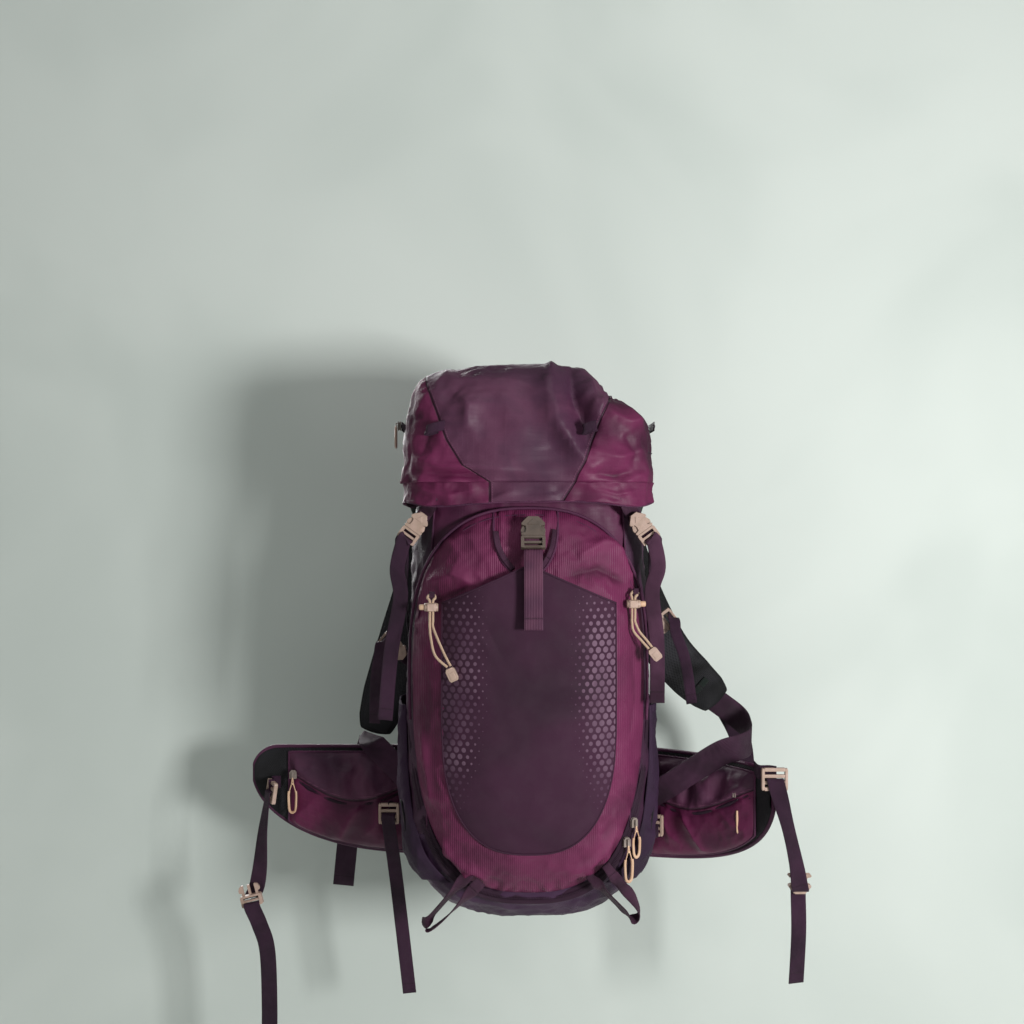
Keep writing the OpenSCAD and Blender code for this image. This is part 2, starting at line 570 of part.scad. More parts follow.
// each cord runs from its end fitting up through the toggle, round the tab and back; points relative to the toggle
left_route = [[21, -21.5, -71.6], [6, -18, -58], [0, -8, -38], [-2, 0, -24], [-2, 0, -17], [-2, 0, -10], [-2, 0, 7],
    [-5, 2, 11.5], [-2, 7, 15], [3, 8, 14.5], [4.5, 4, 11], [2, 0, 7], [2, 0, -10], [2, 0, -17], [2, 0, -24], [8, -8, -38],
    [18, -17, -58], [25, -21.5, -70.2]];
right_route = [[19, -0.5, -56], [10, -1, -46], [0, -1, -34], [-2, 0, -22], [-2, 0, -17], [-2, 0, -10], [-2, 0, 7],
    [-3, 2, 11.5], [1, 7.3, 15.5], [6, 8, 14], [5, 4, 11], [2, 0, 7], [2, 0, -10], [2, 0, -17], [2, 0, -22], [7, -1, -34],
    [16, -1, -45], [23, -0.5, -54]];
module elastic_cords() color("#cfae95") {
    cord([for (p = smooth(left_route, 2)) left_toggle + p], cord_d);
    cord([for (p = smooth(right_route, 2)) right_toggle + p], cord_d);
}
module cord_end(place, turn) color("#d8c3ad") translate(place) rotate([0, turn, 0]) translate([-6, -4.5, -9]) cube([12, 9, 17]);
module cord_ends() {
    cord_end(left_end, -25);
    cord_end(right_end, -38);
}
// webbing tabs on the pocket's seam, folded round the cords
left_eye = [0.5, 7.5, 14.5];
right_eye = [3.5, 7.5, 15];
module cord_tabs() color(web_colour) for (side = [-1, 1]) {
    eye = toggle_at(side) + (side < 0 ? left_eye : right_eye);
    r = cord_d / 2 + web_t / 2 + 1.4;
    ribbon(concat([[eye.x, pocket_y(eye.x, eye.z - 24) - 3, eye.z - 24]],
        [for (a = [-20:40:200]) eye + [0, r * cos(a), r * sin(a)]]), [1, 0, 0], 5, web_t);
}
module toggle(side) color(tan) translate(toggle_at(side)) difference() {
    translate([-toggle_l / 2, 0, 0]) rotate([0, 90, 0]) cylinder(r = toggle_r, h = toggle_l);
    translate([side < 0 ? -toggle_l : -toggle_l / 2 + 1.6, 0, 0]) rotate([0, 90, 0])
        cylinder(r = button_r + gap, h = toggle_l + toggle_l / 2 - 1.6);
    translate([-strand - cord_d / 2 - gap, -cord_d / 2 - gap, -toggle_r - 1])
        cube([2 * strand + cord_d + 2 * gap, cord_d + 2 * gap, 2 * toggle_r + 2]);
}
module toggle_button(side) color(tan) translate(toggle_at(side)) mirrored(side) difference() {
    translate([-toggle_l / 2 + 1.6 + gap + button_travel, 0, 0]) rotate([0, 90, 0])
        cylinder(r = button_r, h = toggle_l - 1.6 - gap - button_travel + button_l);
    translate([-strand - cord_d / 2 - gap, -cord_d / 2 - gap, -toggle_r - 1])
        cube([2 * strand + cord_d + 2 * gap + button_travel, cord_d + 2 * gap, 2 * toggle_r + 2]);
}

// ---- zip sliders ----
// Local frame: travels along z, pull hangs at -z, -y outwards
slider_t = 4;
module slider(pull_l) {
    translate([-5, -slider_t, -6]) cube([10, slider_t, 12]);
    translate([-1.4, -slider_t - 3, -4]) cube([2.8, 3, 8]);
    translate([-2.5, -slider_t - 2.4, -pull_l - 4]) cube([5, 1.8, pull_l]);
}
lid_slider_t = 186;
module lid_slider() color(tan) {
    p = lid_pt(lid_slider_t, lid_zip_z, -0.8 - zip_t - 2 * gap);
    translate(p) rotate([0, 0, -90]) slider(26);
}
upper_a = 324;
lower_a = 317;
module panel_slider(a) color(tan) {
    p = zip_pt(a);
    n = bag_normal(p.x, p.y, p.z);
    translate(p + n * (zip_t / 2 + 2.4 * gap)) rotate([0, 0, atan2(n.x, -n.y)]) slider(34);
}
// ---- gear loops ----
module gear_loops() color(web_colour) {
    ribbon(smooth([[-72, -223, -478], [-92, -223, -500], [-116, -212, -530], [-131, -202, -550], [-126, -203, -558],
        [-106, -216, -540], [-80, -224, -512], [-60, -225, -490]], 3),
        concat([for (k = [0:8]) [0.75, 0, 0.66]], [for (k = [9:14]) [0.2, -1, 0.1]], [for (k = [15:21]) [-0.75, 0, -0.66]]),
        loop_web, web_t);
    ribbon(smooth([[74, -223, -482], [92, -224, -500], [116, -216, -526], [130, -211, -542], [140, -212, -534],
        [130, -220, -512], [110, -226, -488], [96, -222, -470]], 3),
        concat([for (k = [0:8]) [0.75, 0, -0.66]], [for (k = [9:14]) [0.2, -1, 0.1]], [for (k = [15:21]) [-0.75, 0, 0.66]]),
        loop_web, web_t);
}

// ---- side pockets ----
side_pocket_t = 1.8;
side_pocket_top = -282;
side_pocket_bottom = side_pocket_top - side_pocket_h;
module side_pockets() color(dark) both() {
    nt = 14;
    nz = 10;
    level = function (j) lerp(side_pocket_bottom, side_pocket_top, j / nz);
    zip_x = function (z) zip_edge * pocket_w / 2
        * arch((pocket_belly - z) / (zip_edge * (pocket_belly - pocket_bottom)), pocket_n);
    // the front edge stays a zip's width outside the zip, across or back
    front_t = function (z) -max(acos(pow(min(1, (zip_x(z) + zip_w) / bag_a(z)), panel_n / 2)),
        asin(pow(max(0, (bag_cy(z) - bag_front_y(zip_x(z), z) - zip_w) / bag_b(z)), panel_n / 2)));
    off = function (i, j) 0.7 + side_pocket_t + 4 * clamp01((boot_top - level(j)) / 30) + side_pocket_gap * pow(sin(180 * i / nt), 0.6) * pow(j / nz, 0.7);
    at = function (i, j, d) bag_pt(lerp(front_t(level(j)), 38, i / nt), level(j), -d);
    sheet([for (j = [0:nz]) [for (i = [0:nt]) at(i, j, off(i, j))]],
        [for (j = [0:nz]) [for (i = [0:nt]) at(i, j, off(i, j) - side_pocket_t)]]);
}

// ---- hip belt ----
hinge_x = lumbar_w / 2 + wing_t / 2 + 0.6;
hinge_wing_y = 6;
wing_top = -366;
tip_r = 36;
wing_end = wing_reach * 0.994;
function wing_hi(s) = wing_top - tip_r * (1 - arch(max(0, s - wing_reach + tip_r) / tip_r, 2));
function wing_lo(s) = wing_top - tip_r - (wing_h - tip_r) * pow(max(0, 1 - pow(max(0, s) / wing_reach, 2.6)), 0.53);
// the right wing swings and bends towards the front: yaw at its root and bend over its length
wing_yaw = 12;
wing_bend = 56;
function wing_pt(bent, s, z, n) = bent
    ? let (r = wing_reach / (wing_bend * PI / 180), a = wing_yaw + wing_bend * s / wing_reach)
        [hinge_x + r * (sin(a) - sin(wing_yaw)) - n * sin(a), hinge_wing_y - r * (cos(wing_yaw) - cos(a)) - n * cos(a), z]
    : [hinge_x + s, hinge_wing_y - n, z];
function wing_half(s) = s < 0 ? sqrt(pow(wing_t / 2, 2) - s * s) : wing_t / 2;
module wing(bent) color(black) {
    stations = concat([for (k = [0:2]) -wing_t / 2 * cos(12 + 26 * k)], [for (k = [0:20]) wing_end * sin(90 * k / 20)]);
    nz = 6;
    sheet([for (j = [0:nz]) [for (s = stations) wing_pt(bent, s, lerp(wing_lo(s), wing_hi(s), j / nz), wing_half(s))]],
        [for (j = [0:nz]) [for (s = stations) wing_pt(bent, s, lerp(wing_lo(s), wing_hi(s), j / nz), -wing_half(s))]]);
}
wing_pocket_t = 1.6;
wing_pocket_from = 56;
wing_pocket_to = wing_reach - 52;
module wing_pocket(bent) color(plum) {
    ns = 14;
    nz = 9;
    at = function (i, j, d) let (s = lerp(wing_pocket_from, wing_pocket_to, i / ns),
            z = lerp(wing_lo(s) + 4, wing_hi(s) - 6, j / nz), v = j / nz)
        wing_pt(bent, s, z, wing_t / 2 + gap + wing_pocket_t + wing_bulge * pow(sin(180 * i / ns), 0.6)
            * pow(sin(180 * pow(v, 0.8)), 0.6) - d);
    sheet([for (j = [0:nz]) [for (i = [0:ns]) at(i, j, 0)]], [for (j = [0:nz]) [for (i = [0:ns]) at(i, j, wing_pocket_t)]]);
}
// ladder lock plate at the tip of a wing, and a buckle half on the belt strap
module ladder_lock(web) difference() {
    translate([-web / 2 - 4.5, -3, -15]) cube([web + 9, 6, 30]);
    for (z = [-10, -1.8, 6.4]) translate([-web / 2 - 0.6, -4, z]) cube([web + 1.2, 8, slot_h]);
}
left_lock = [-362, -24, -424];
right_lock = [319, -172, -374];
belt_buckle_left = [-392, -24, -570];
belt_buckle_right = [354, -160, -500];
belt_turn = -14;
lock_slot = -1.8 + slot_h / 2;
module belt_hardware_left() color(tan) {
    translate(left_lock) rotate([0, 8, 0]) rotate([0, 0, -62]) ladder_lock(belt_web);
    translate(belt_buckle_left) rotate([0, belt_turn, 0]) plug(belt_web);
}
module belt_hardware_right() color(tan) {
    translate(right_lock) ladder_lock(belt_web);
    translate(belt_buckle_right) rotate([180, 0, 0]) receiver(belt_web);
}
// straps: wing to lock, lock to buckle, and the tail under the buckle
module belt_strap_left() color(web_colour) {
    w = belt_web - 7;
    at = function (p) placed(belt_buckle_left, belt_turn, p);
    out = [cos(-62), sin(-62), 0];                // across the turned lock
    side = [-out.y, out.x, 0];
    hold = wing_pt(false, 238, left_lock.z + 8.2, wing_t / 2 + web_t / 2 + 0.6);
    anchor = [-hold.x, hold.y, hold.z];
    ribbon([anchor, anchor + [-12, -3, 0], left_lock + side * 5 + [-1, 0, 8.2], left_lock + side * -5.4 + [1, 0, 8.2]],
        [0, 0, 1], 3, web_t);
    ribbon([left_lock + side * 4, left_lock - side * 5, left_lock - side * 5.6 + [-1, 0, -12], [-374, -26, -480], [-379, -20, -530],
        [-385, -14, -562], at([0, 6.2, high_slot + 1]), at([0, 1, high_slot])],
        [out, out, out, [0.7, -0.7, 0], [0.9, -0.3, 0], [1, 0, 0.1], [1, 0, 0.2], [1, 0, 0.2]], w, web_t);
    ribbon([at([0, 1, low_slot]), at([0, -6.2, low_slot]), at([0, -6.8, low_slot - 7]), [-378, -28, -612], [-368, -24, -650],
        [-366, -18, -730], [-368, -12, -818]], [1, 0.2, 0.2], w, web_t);
}
module belt_strap_right() color(web_colour) {
    w = belt_web - 9;
    top = belt_buckle_right;
    slot_z = -socket_l - slot_h / 2;
    anchor = wing_pt(true, 246, right_lock.z + 8.2, wing_t / 2 + web_t / 2 + 0.6);
    ribbon([anchor, [300, -166, anchor.z], right_lock + [-6, 5, 8.2], right_lock + [2, -1, 8.2]], [0, 0, 1], 3, web_t);
    ribbon([right_lock + [0, 1.5, lock_slot], right_lock + [0, -4.4, lock_slot], right_lock + [3, -5.2, -12], [334, -178, -430],
        [346, -174, -480], [352, -169, -512], top + [0, -6, slot_z], top + [0, -1, slot_z]],
        [[1, 0, 0], [1, 0, 0], [1, 0, 0], [0.8, 0.5, 0], [0.8, 0.4, 0], [1, 0.1, 0], [1, 0, 0], [1, 0, 0]], w, web_t);
    ribbon([top + [0, 2.6, slot_z], top + [0, 6.7, slot_z], top + [0, 7.2, slot_z - 9], [355, -152, -580], [353, -146, -648]],
        [1, 0.3, 0], w, web_t);
}
module wing_slider(bent) color(tan) translate(wing_pt(bent, wing_pocket_to - 8, -402, wing_t / 2 + 13)) slider(40);

// ---- straps at the back ----
module stabilisers() for (side = [-1, 1]) {
    place = side < 0 ? [-195, -30, -454] : [175, -60, -462];
    foot = side < 0 ? [-167, -14, -714] : [158, -40, -506];
    turn = side < 0 ? 0 : -28;
    color(tan) translate(place) rotate([0, 0, turn]) ladder_lock(side_web);
    wide = [cos(turn), sin(turn), 0];
    out = [wide.y, -wide.x, 0];
    color(web_colour) ribbon([place - out * 1.5, place + out * 4.6, place + out * 5.4 + [0, 0, -12], lerp(place + out * 5, foot, 0.3),
        lerp(place, foot, 0.65), foot], wide, side_web - 2, web_t);
    color(web_colour) ribbon(side < 0
        ? [place + [0, -1.5, 8.2], place + [3, 4.6, 8.2], place + [20, 8, -10], [-132, -26, -498], [-100, -25.2, -506]]
        : [place + [0, 1, 8.2] - out, place + [-3, 5, 8.2] - out * 3, [158, -36, -474], [130, -27, -498], [100, -25.2, -506]],
        [0, 0, 1], 3, web_t);
}
module load_lifters() color(web_colour) for (side = [-1, 1])
    ribbon([[side * 160, foam_y - 1.1, 4], [side * 160, foam_y - 1.1, 18.4], [side * 160, foam_y + yoke_t / 2, 21],
        [side * 160, foam_y + yoke_t + 1.1, 18.4], [side * 160, foam_y + yoke_t + 1.1, 0]], [1, 0, 0], side_web, web_t);
strap_y = foam_y + yoke_t + gap + shoulder_t / 2;
right_strap = [[126, strap_y, -20], [138, strap_y, -70], [154, strap_y, -124], [178, strap_y, -180], [206, strap_y, -230],
    [238, strap_y, -266], [262, strap_y, -288], [276, strap_y, -302]];
left_strap = [[-126, strap_y, -20], [-137, strap_y, -70], [-152, strap_y, -120], [-170, strap_y, -178], [-188, strap_y, -236],
    [-204, strap_y, -290], [-214, strap_y, -326], [-219, strap_y, -346]];
strap_widths = [0.9, 0.96, 1, 1, 1, 0.98, 0.86, 0.6];
module shoulder(path) color(black) pad(path, [1, 0, 0.5], [for (w = strap_widths) w * shoulder_w], shoulder_t);
module shoulder_left() shoulder(left_strap);
module shoulder_right() shoulder(right_strap);
// webbing from the shoulder straps' ends to the bottom corners of the bag, and its free tails
module shoulder_webs() color(web_colour) {
    seat = -19.9;
    ribbon([[281, strap_y, -309], [300, 7, -320], [313, -30, -334], [306, -84, -340], [290, -108, -344], [262, -110, -352],
        [226, -96, -378], [196, -74, -404], [168, -42, -430], [138, -24, -452], [116, seat, -466]],
        [[0.7, 0, 0.7], [0.5, 0, 0.85], [0.1, 0, 1], [0, 0, 1], [-0.2, 0, 1], [-0.4, 0, 0.9], [-0.6, 0, 0.8], [-0.6, 0, 0.8],
            [-0.6, 0, 0.8], [-0.6, 0, 0.8], [-0.6, 0, 0.8]], harness_web, web_t);
    ribbon([[-221, strap_y, -350], [-225, 2, -355], [-218, -10, -361], [-198, -19, -378], [-172, -22, -404], [-148, -21, -430],
        [-128, -20, -452], [-116, seat, -466]],
        [[1, 0, -0.1], [1, 0, 0.1], [1, 0, 0.2], [0.7, 0, 0.7], [0.75, 0, 0.65], [0.75, 0, 0.65], [0.75, 0, 0.65], [0.75, 0, 0.65]],
        harness_web, web_t);
    ribbon([[-228, strap_y + 6, -356], [-240, 22, -400], [-256, 24, -470], [-267, 24, -572]], [1, 0, 0], harness_web - 4, web_t);
    ribbon([[290, strap_y + 6, -314], [312, 22, -360], [320, 24, -430], [326, 24, -506]], [1, 0, 0], harness_web - 4, web_t);
}

back_panel();
frame_sheet();
frame_stays();
lumbar_pad();
shoulder_yoke();
haul_loop();
bag_front();
bag_sides();
bag_back();
bag_boot();
base_patch();
collar();
front_pocket();
panel_zip();
stretch_panel();
side_pockets();
gear_loops();
front_receiver();
side_receivers();
side_webbing();
cord_tabs();
stabilisers();
load_lifters();
strap_runs();
shoulder_webs();
elastic_cords();
cord_ends();
lid_shell();
lid_skirt();
lid_lining();
lid_zip();
lid_loops();
lid_receivers();
lid_slider();
lid_plug(-1);  // lid_plug_left
lid_tail(-1, left_foot);  // lid_tail_left
lid_plug(1);  // lid_plug_right
lid_tail(1, right_foot);  // lid_tail_right
front_plug();
front_tail();
side_plug(-1);  // side_plug_left
side_plug(1);  // side_plug_right
toggle(-1);  // toggle_left
toggle_button(-1);  // toggle_button_left
toggle(1);  // toggle_right
toggle_button(1);  // toggle_button_right
panel_slider(upper_a);  // panel_slider_upper
panel_slider(lower_a);  // panel_slider_lower
mirrored(-1) wing(false);  // wing_left
mirrored(-1) wing_pocket(false);  // wing_pocket_left
belt_strap_left();
belt_hardware_left();
mirrored(-1) wing_slider(false);  // wing_slider_left
wing(true);  // wing_right
wing_pocket(true);  // wing_pocket_right
belt_strap_right();
belt_hardware_right();
wing_slider(true);  // wing_slider_right
shoulder_left();
shoulder_right();
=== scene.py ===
# Trekking pack with a floating lid, hung from its haul loop.
# Lengths are in millimetres in the frame's own axes; a mesh becomes metres where it is made.
import math

import bpy
from mathutils import Matrix, Vector, noise


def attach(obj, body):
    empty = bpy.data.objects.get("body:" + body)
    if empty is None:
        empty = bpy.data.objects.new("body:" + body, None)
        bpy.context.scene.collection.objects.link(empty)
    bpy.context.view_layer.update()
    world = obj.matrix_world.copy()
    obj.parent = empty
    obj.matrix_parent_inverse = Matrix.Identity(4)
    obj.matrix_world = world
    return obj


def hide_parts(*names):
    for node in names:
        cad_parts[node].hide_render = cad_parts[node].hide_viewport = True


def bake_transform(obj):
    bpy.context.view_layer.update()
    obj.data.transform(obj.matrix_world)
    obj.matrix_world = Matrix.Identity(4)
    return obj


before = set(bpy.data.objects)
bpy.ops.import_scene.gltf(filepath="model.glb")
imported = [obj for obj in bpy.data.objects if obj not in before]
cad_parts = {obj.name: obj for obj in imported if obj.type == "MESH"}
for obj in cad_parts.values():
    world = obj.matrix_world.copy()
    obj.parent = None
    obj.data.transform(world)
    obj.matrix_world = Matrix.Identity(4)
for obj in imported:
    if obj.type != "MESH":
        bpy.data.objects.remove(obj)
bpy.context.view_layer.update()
mm = 0.001
upward = Vector((0, 0, 1))
forward = Vector((0, -1, 0))


# small sums: curves, soft steps and noise that the pieces below share
def spow(v, p):
    return math.copysign(abs(v) ** p, v)


def lerp(a, b, t):
    return a + (b - a) * t


def clamp01(t):
    return min(1.0, max(0.0, t))


def ease(lo, hi, x):
    t = clamp01((x - lo) / (hi - lo))
    return t * t * (3 - 2 * t)


def arch(x, n):
    return max(0.0, 1 - abs(x) ** n) ** (1 / n)


def ripple(p, size, seed=0.0):
    return noise.noise(Vector(p) / size + Vector((seed, seed * 1.7, -seed)))


def crumple(p, size, seed=0.0):
    q = Vector(p) / size + Vector((seed, -seed, seed * 0.6))
    return 1 - 2 * abs(noise.noise(q)) - 0.5 * abs(noise.noise(q * 2.1))


def tableAt(table, z):
    if z <= table[0][0]:
        return table[0][1]
    for (za, xa), (zb, xb) in zip(table, table[1:]):
        if z <= zb:
            return lerp(xa, xb, (z - za) / (zb - za))
    return table[-1][1]


def fold(x, z, line, width, depth):
    best, along, total = 1e9, 0.0, 0.0
    for (xa, za), (xb, zb) in zip(line, line[1:]):
        dx, dz = xb - xa, zb - za
        length = math.hypot(dx, dz)
        t = clamp01(((x - xa) * dx + (z - za) * dz) / length ** 2)
        d = math.hypot(x - xa - t * dx, z - za - t * dz)
        if d < best:
            best, along = d, total + t * length
        total += length
    if best > 3.5 * width:
        return 0.0
    return depth * math.sin(math.pi * clamp01(along / total)) ** 0.6 * math.exp(-(best / width) ** 1.15)


def folds(x, z, lines):
    return sum(fold(x, z, *line) for line in lines)


def smoothPath(points, n=6):
    pts = [Vector(p) for p in points]
    out = []
    for i in range(len(pts) - 1):
        a, b, c, d = pts[max(0, i - 1)], pts[i], pts[i + 1], pts[min(len(pts) - 1, i + 2)]
        for k in range(n):
            t = k / n
            out.append(0.5 * (2 * b + (c - a) * t + (2 * a - 5 * b + 4 * c - d) * t * t
                              + (3 * b - a - 3 * c + d) * t ** 3))
    return out + [pts[-1]]


# main sizes of each part and the curves they follow, in the frame's own shape
bag = {"w": 316, "d": 201, "h": 546, "boot": 118, "top": -10, "n": 3.4, "back": -11}
bag["bottom"] = bag["top"] - bag["h"]
bag["bootTop"] = bag["bottom"] + bag["boot"]
bag["belly"] = bag["top"] - 320
bag["y"] = bag["back"] - bag["d"] / 2


def belly(z):
    return 1 - 0.085 * ((z - bag["belly"]) / (bag["top"] - bag["belly"])) ** 2


def bagA(z):
    return bag["w"] / 2 * belly(z) * arch(max(0, bag["bootTop"] - z) / (bag["boot"] * 1.04), 2.4)


def bagB(z):
    low = arch(max(0, bag["bootTop"] - z) / (bag["boot"] * 1.1), 2.6)
    return bag["d"] / 2 * (0.94 + 0.06 * belly(z)) * low


def bagCy(z):
    return bag["y"] + (bag["d"] / 2 - bagB(z)) * (0.3 if z < bag["bootTop"] else 1)


def bagPt(t, z, out=0.0):
    c, s = math.cos(math.radians(t)), math.sin(math.radians(t))
    return Vector(((bagA(z) + out) * spow(c, 2 / bag["n"]),
                   bagCy(z) + (bagB(z) + out) * spow(s, 2 / bag["n"]), z))


def bagFrontY(x, z):
    return bagCy(z) - bagB(z) * arch(x / bagA(z), bag["n"])


def bagNormal(x, y, z):
    n = bag["n"] - 1
    return Vector((spow(x / bagA(z), n) / bagA(z), spow((y - bagCy(z)) / bagB(z), n) / bagB(z),
                   0)).normalized()


pocket = {"w": 300, "top": -22, "bottom": -511, "belly": -235, "n": 2.6, "t": 3, "bulge": 44}


def pocketR(x, z):
    h = pocket["top"] - pocket["belly"] if z > pocket["belly"] else pocket["belly"] - pocket["bottom"]
    n = pocket["n"]
    return ((abs(x) / (pocket["w"] / 2)) ** n + (abs(z - pocket["belly"]) / h) ** n) ** (1 / n)


def pocketY(x, z):
    return bagFrontY(x, z) - 0.3 - pocket["t"] - pocket["bulge"] * (1 - min(1, pocketR(x, z)) ** 3.2) ** 0.8


def pocketPt(a, r):
    c, s = math.cos(math.radians(a)), math.sin(math.radians(a))
    h = pocket["top"] - pocket["belly"] if s > 0 else pocket["belly"] - pocket["bottom"]
    x = r * pocket["w"] / 2 * spow(c, 2 / pocket["n"])
    z = pocket["belly"] + r * h * spow(s, 2 / pocket["n"])
    return Vector((x, pocketY(x, z), z))


stretch = {"w": 216, "h": 358, "top": -93, "fall": 48, "belly": -283, "seat": 1.5, "t": 1.4, "gap": 11}


def stretchHi(x):
    return stretch["top"] - stretch["fall"] * abs(x) / (stretch["w"] / 2)


def stretchLo(x):
    drop = stretch["belly"] - stretch["top"] + stretch["h"]
    return stretch["belly"] - drop * arch(x / (stretch["w"] / 2), pocket["n"])


def stretchY(x, z):
    v = clamp01((z - stretchLo(x)) / (stretchHi(x) - stretchLo(x)))
    lift = stretch["gap"] * (1 - (abs(x) / (stretch["w"] / 2)) ** 4) * v
    return pocketY(x, z) - stretch["seat"] - stretch["t"] - lift


zipEdge = 1.03


def zipPt(a, out=0.0):
    c, s = math.cos(math.radians(a)), math.sin(math.radians(a))
    h = pocket["top"] - pocket["belly"] if s > 0 else pocket["belly"] - pocket["bottom"]
    x = zipEdge * pocket["w"] / 2 * spow(c, 2 / pocket["n"])
    z = pocket["belly"] + h * zipEdge * spow(s, 2 / pocket["n"])
    y = bagFrontY(x, z)
    seat = 0.3 + 1.5 + 3.5 * clamp01((bag["bootTop"] + 20 - z) / 60)
    return Vector((x, y, z)) + bagNormal(x, y, z) * (seat + out)


lid = {"w": 330, "d": 228, "h": 152, "seam": 9, "skirt": 27, "n": 3.6, "rear": -14}
lid["y"] = lid["rear"] - lid["d"] / 2
lid["domeZ"] = lid["seam"] + 36


def dome(z):
    return arch(max(0, z - lid["domeZ"]) / (lid["h"] - 36) * 0.985, 3)


def lidPt(t, z, out=0.0):
    c, s = math.cos(math.radians(t)), math.sin(math.radians(t))
    return Vector(((lid["w"] / 2 * dome(z) + out) * spow(c, 2 / lid["n"]),
                   lid["y"] + (lid["d"] / 2 * dome(z) + out) * spow(s, 2 / lid["n"]), z))


wing = {"reach": 278, "h": 152, "t": 13, "top": -366, "tip": 36, "x": 115.1, "y": 6, "yaw": 12, "bend": 56,
        "bulge": 24}


def wingHi(s):
    return wing["top"] - wing["tip"] * (1 - arch(max(0, s - wing["reach"] + wing["tip"]) / wing["tip"], 2))


def wingLo(s):
    rest = max(0, 1 - (max(0, s) / wing["reach"]) ** 2.6) ** 0.53
    return wing["top"] - wing["tip"] - (wing["h"] - wing["tip"]) * rest


def wingPt(side, s, z, out):
    if side < 0:
        return Vector((-wing["x"] - s, wing["y"] - out, z))
    r = wing["reach"] / math.radians(wing["bend"])
    yaw = math.radians(wing["yaw"])
    a = yaw + math.radians(wing["bend"]) * s / wing["reach"]
    return Vector((wing["x"] + r * (math.sin(a) - math.sin(yaw)) - out * math.sin(a),
                   wing["y"] - r * (math.cos(yaw) - math.cos(a)) - out * math.cos(a), z))


# a mesh from points in millimetres, with its cloth UVs and attributes
def makeObject(name, verts, faces, material, loopUv=None, attrs=None):
    mesh = bpy.data.meshes.new(name)
    mesh.from_pydata([Vector(v) * mm for v in verts], [], faces)
    if loopUv:
        layer = mesh.uv_layers.new(name="Cloth")
        for loop, uv in zip(layer.data, loopUv):
            loop.uv = uv
    for key, values in (attrs or {}).items():
        mesh.attributes.new(key, "FLOAT", "POINT").data.foreach_set("value", values)
    mesh.materials.append(material)
    for face in mesh.polygons:
        face.use_smooth = True
    obj = bpy.data.objects.new(name, mesh)
    bpy.context.scene.collection.objects.link(obj)
    return obj


def gridNormals(rows, wrap):
    last, cols = len(rows) - 1, len(rows[0])
    out = []
    for j, row in enumerate(rows):
        up, down = rows[min(last, j + 1)], rows[max(0, j - 1)]
        line = []
        for i in range(cols):
            ahead = row[(i + 1) % cols] if wrap else row[min(cols - 1, i + 1)]
            behind = row[i - 1] if wrap else row[max(0, i - 1)]
            line.append((ahead - behind).cross(up[i] - down[i]).normalized())
        out.append(line)
    return out


def surface(name, at, nu, nv, material, size=(100, 100), relief=None, wrap=False, out=forward, attrs=None,
            thick=1.2):
    cols = nu if wrap else nu + 1
    rows = [[Vector(at(i / nu, j / nv)) for i in range(cols)] for j in range(nv + 1)]
    normals = gridNormals(rows, wrap)
    outward = out if callable(out) else (lambda p: out)
    score = sum(n.dot(outward(p)) for line, row in zip(normals, rows) for n, p in zip(line, row))
    sign = 1 if score >= 0 else -1
    lifts = []
    for j, row in enumerate(rows):
        for i, p in enumerate(row):
            lifts.append(relief(i / nu, j / nv, p) if relief else 0.0)
            row[i] = p + normals[j][i] * sign * lifts[-1]
    faces, loopUv = [], []
    for j in range(nv):
        for i in range(nu):
            k = (i + 1) % cols
            face = [j * cols + i, j * cols + k, (j + 1) * cols + k, (j + 1) * cols + i]
            uv = [(i, j), (i + 1, j), (i + 1, j + 1), (i, j + 1)]
            if sign < 0:
                face.reverse()
                uv.reverse()
            faces.append(face)
            loopUv += [(a / nu * size[0], b / nv * size[1]) for a, b in uv]
    values = {key: [fn(i / nu, j / nv, rows[j][i]) for j in range(nv + 1) for i in range(cols)]
              for key, fn in (attrs or {}).items()}
    values["lift"] = lifts
    obj = makeObject(name, [p for row in rows for p in row], faces, material, loopUv, values)
    if thick:
        shell = obj.modifiers.new("Thickness", "SOLIDIFY")
        shell.thickness = thick * mm
        shell.offset = -1
    return obj


def sweep(name, path, ring, material, closed=False, uvWidth=10, attrs=None):
    n, k = len(path), len(ring(0, Vector((1, 0, 0)), Vector((0, 1, 0))))
    verts, lengths = [], [0.0]
    for a, b in zip(path, path[1:]):
        lengths.append(lengths[-1] + (b - a).length)
    u = None
    for i, p in enumerate(path):
        ahead = path[(i + 1) % n] if closed else path[min(n - 1, i + 1)]
        behind = path[i - 1] if closed else path[max(0, i - 1)]
        t = (ahead - behind).normalized()
        if u is None:
            u = t.orthogonal().normalized()
        u = (u - t * u.dot(t)).normalized()
        verts += [p + q for q in ring(i, u, t.cross(u))]
    faces, loopUv = [], []
    for i in range(n if closed else n - 1):
        for j in range(k):
            a, b = i * k, (i + 1) % n * k
            faces.append([a + j, a + (j + 1) % k, b + (j + 1) % k, b + j])
            end = lengths[i + 1] if i + 1 < n else lengths[-1] + 1
            loopUv += [(j / k * uvWidth, lengths[i]), ((j + 1) / k * uvWidth, lengths[i]),
                       ((j + 1) / k * uvWidth, end), (j / k * uvWidth, end)]
    if not closed:
        faces += [list(range(k))[::-1], [(n - 1) * k + j for j in range(k)]]
        loopUv += [(0, 0)] * (2 * k)
    return makeObject(name, verts, faces, material, loopUv, attrs)


def tube(name, path, radius, material, closed=False, sides=10, flat=1.0):
    def ring(i, u, v):
        turns = [2 * math.pi * k / sides for k in range(sides)]
        return [u * radius * math.cos(a) + v * radius * flat * math.sin(a) for a in turns]
    return sweep(name, [Vector(p) for p in path], ring, material, closed)


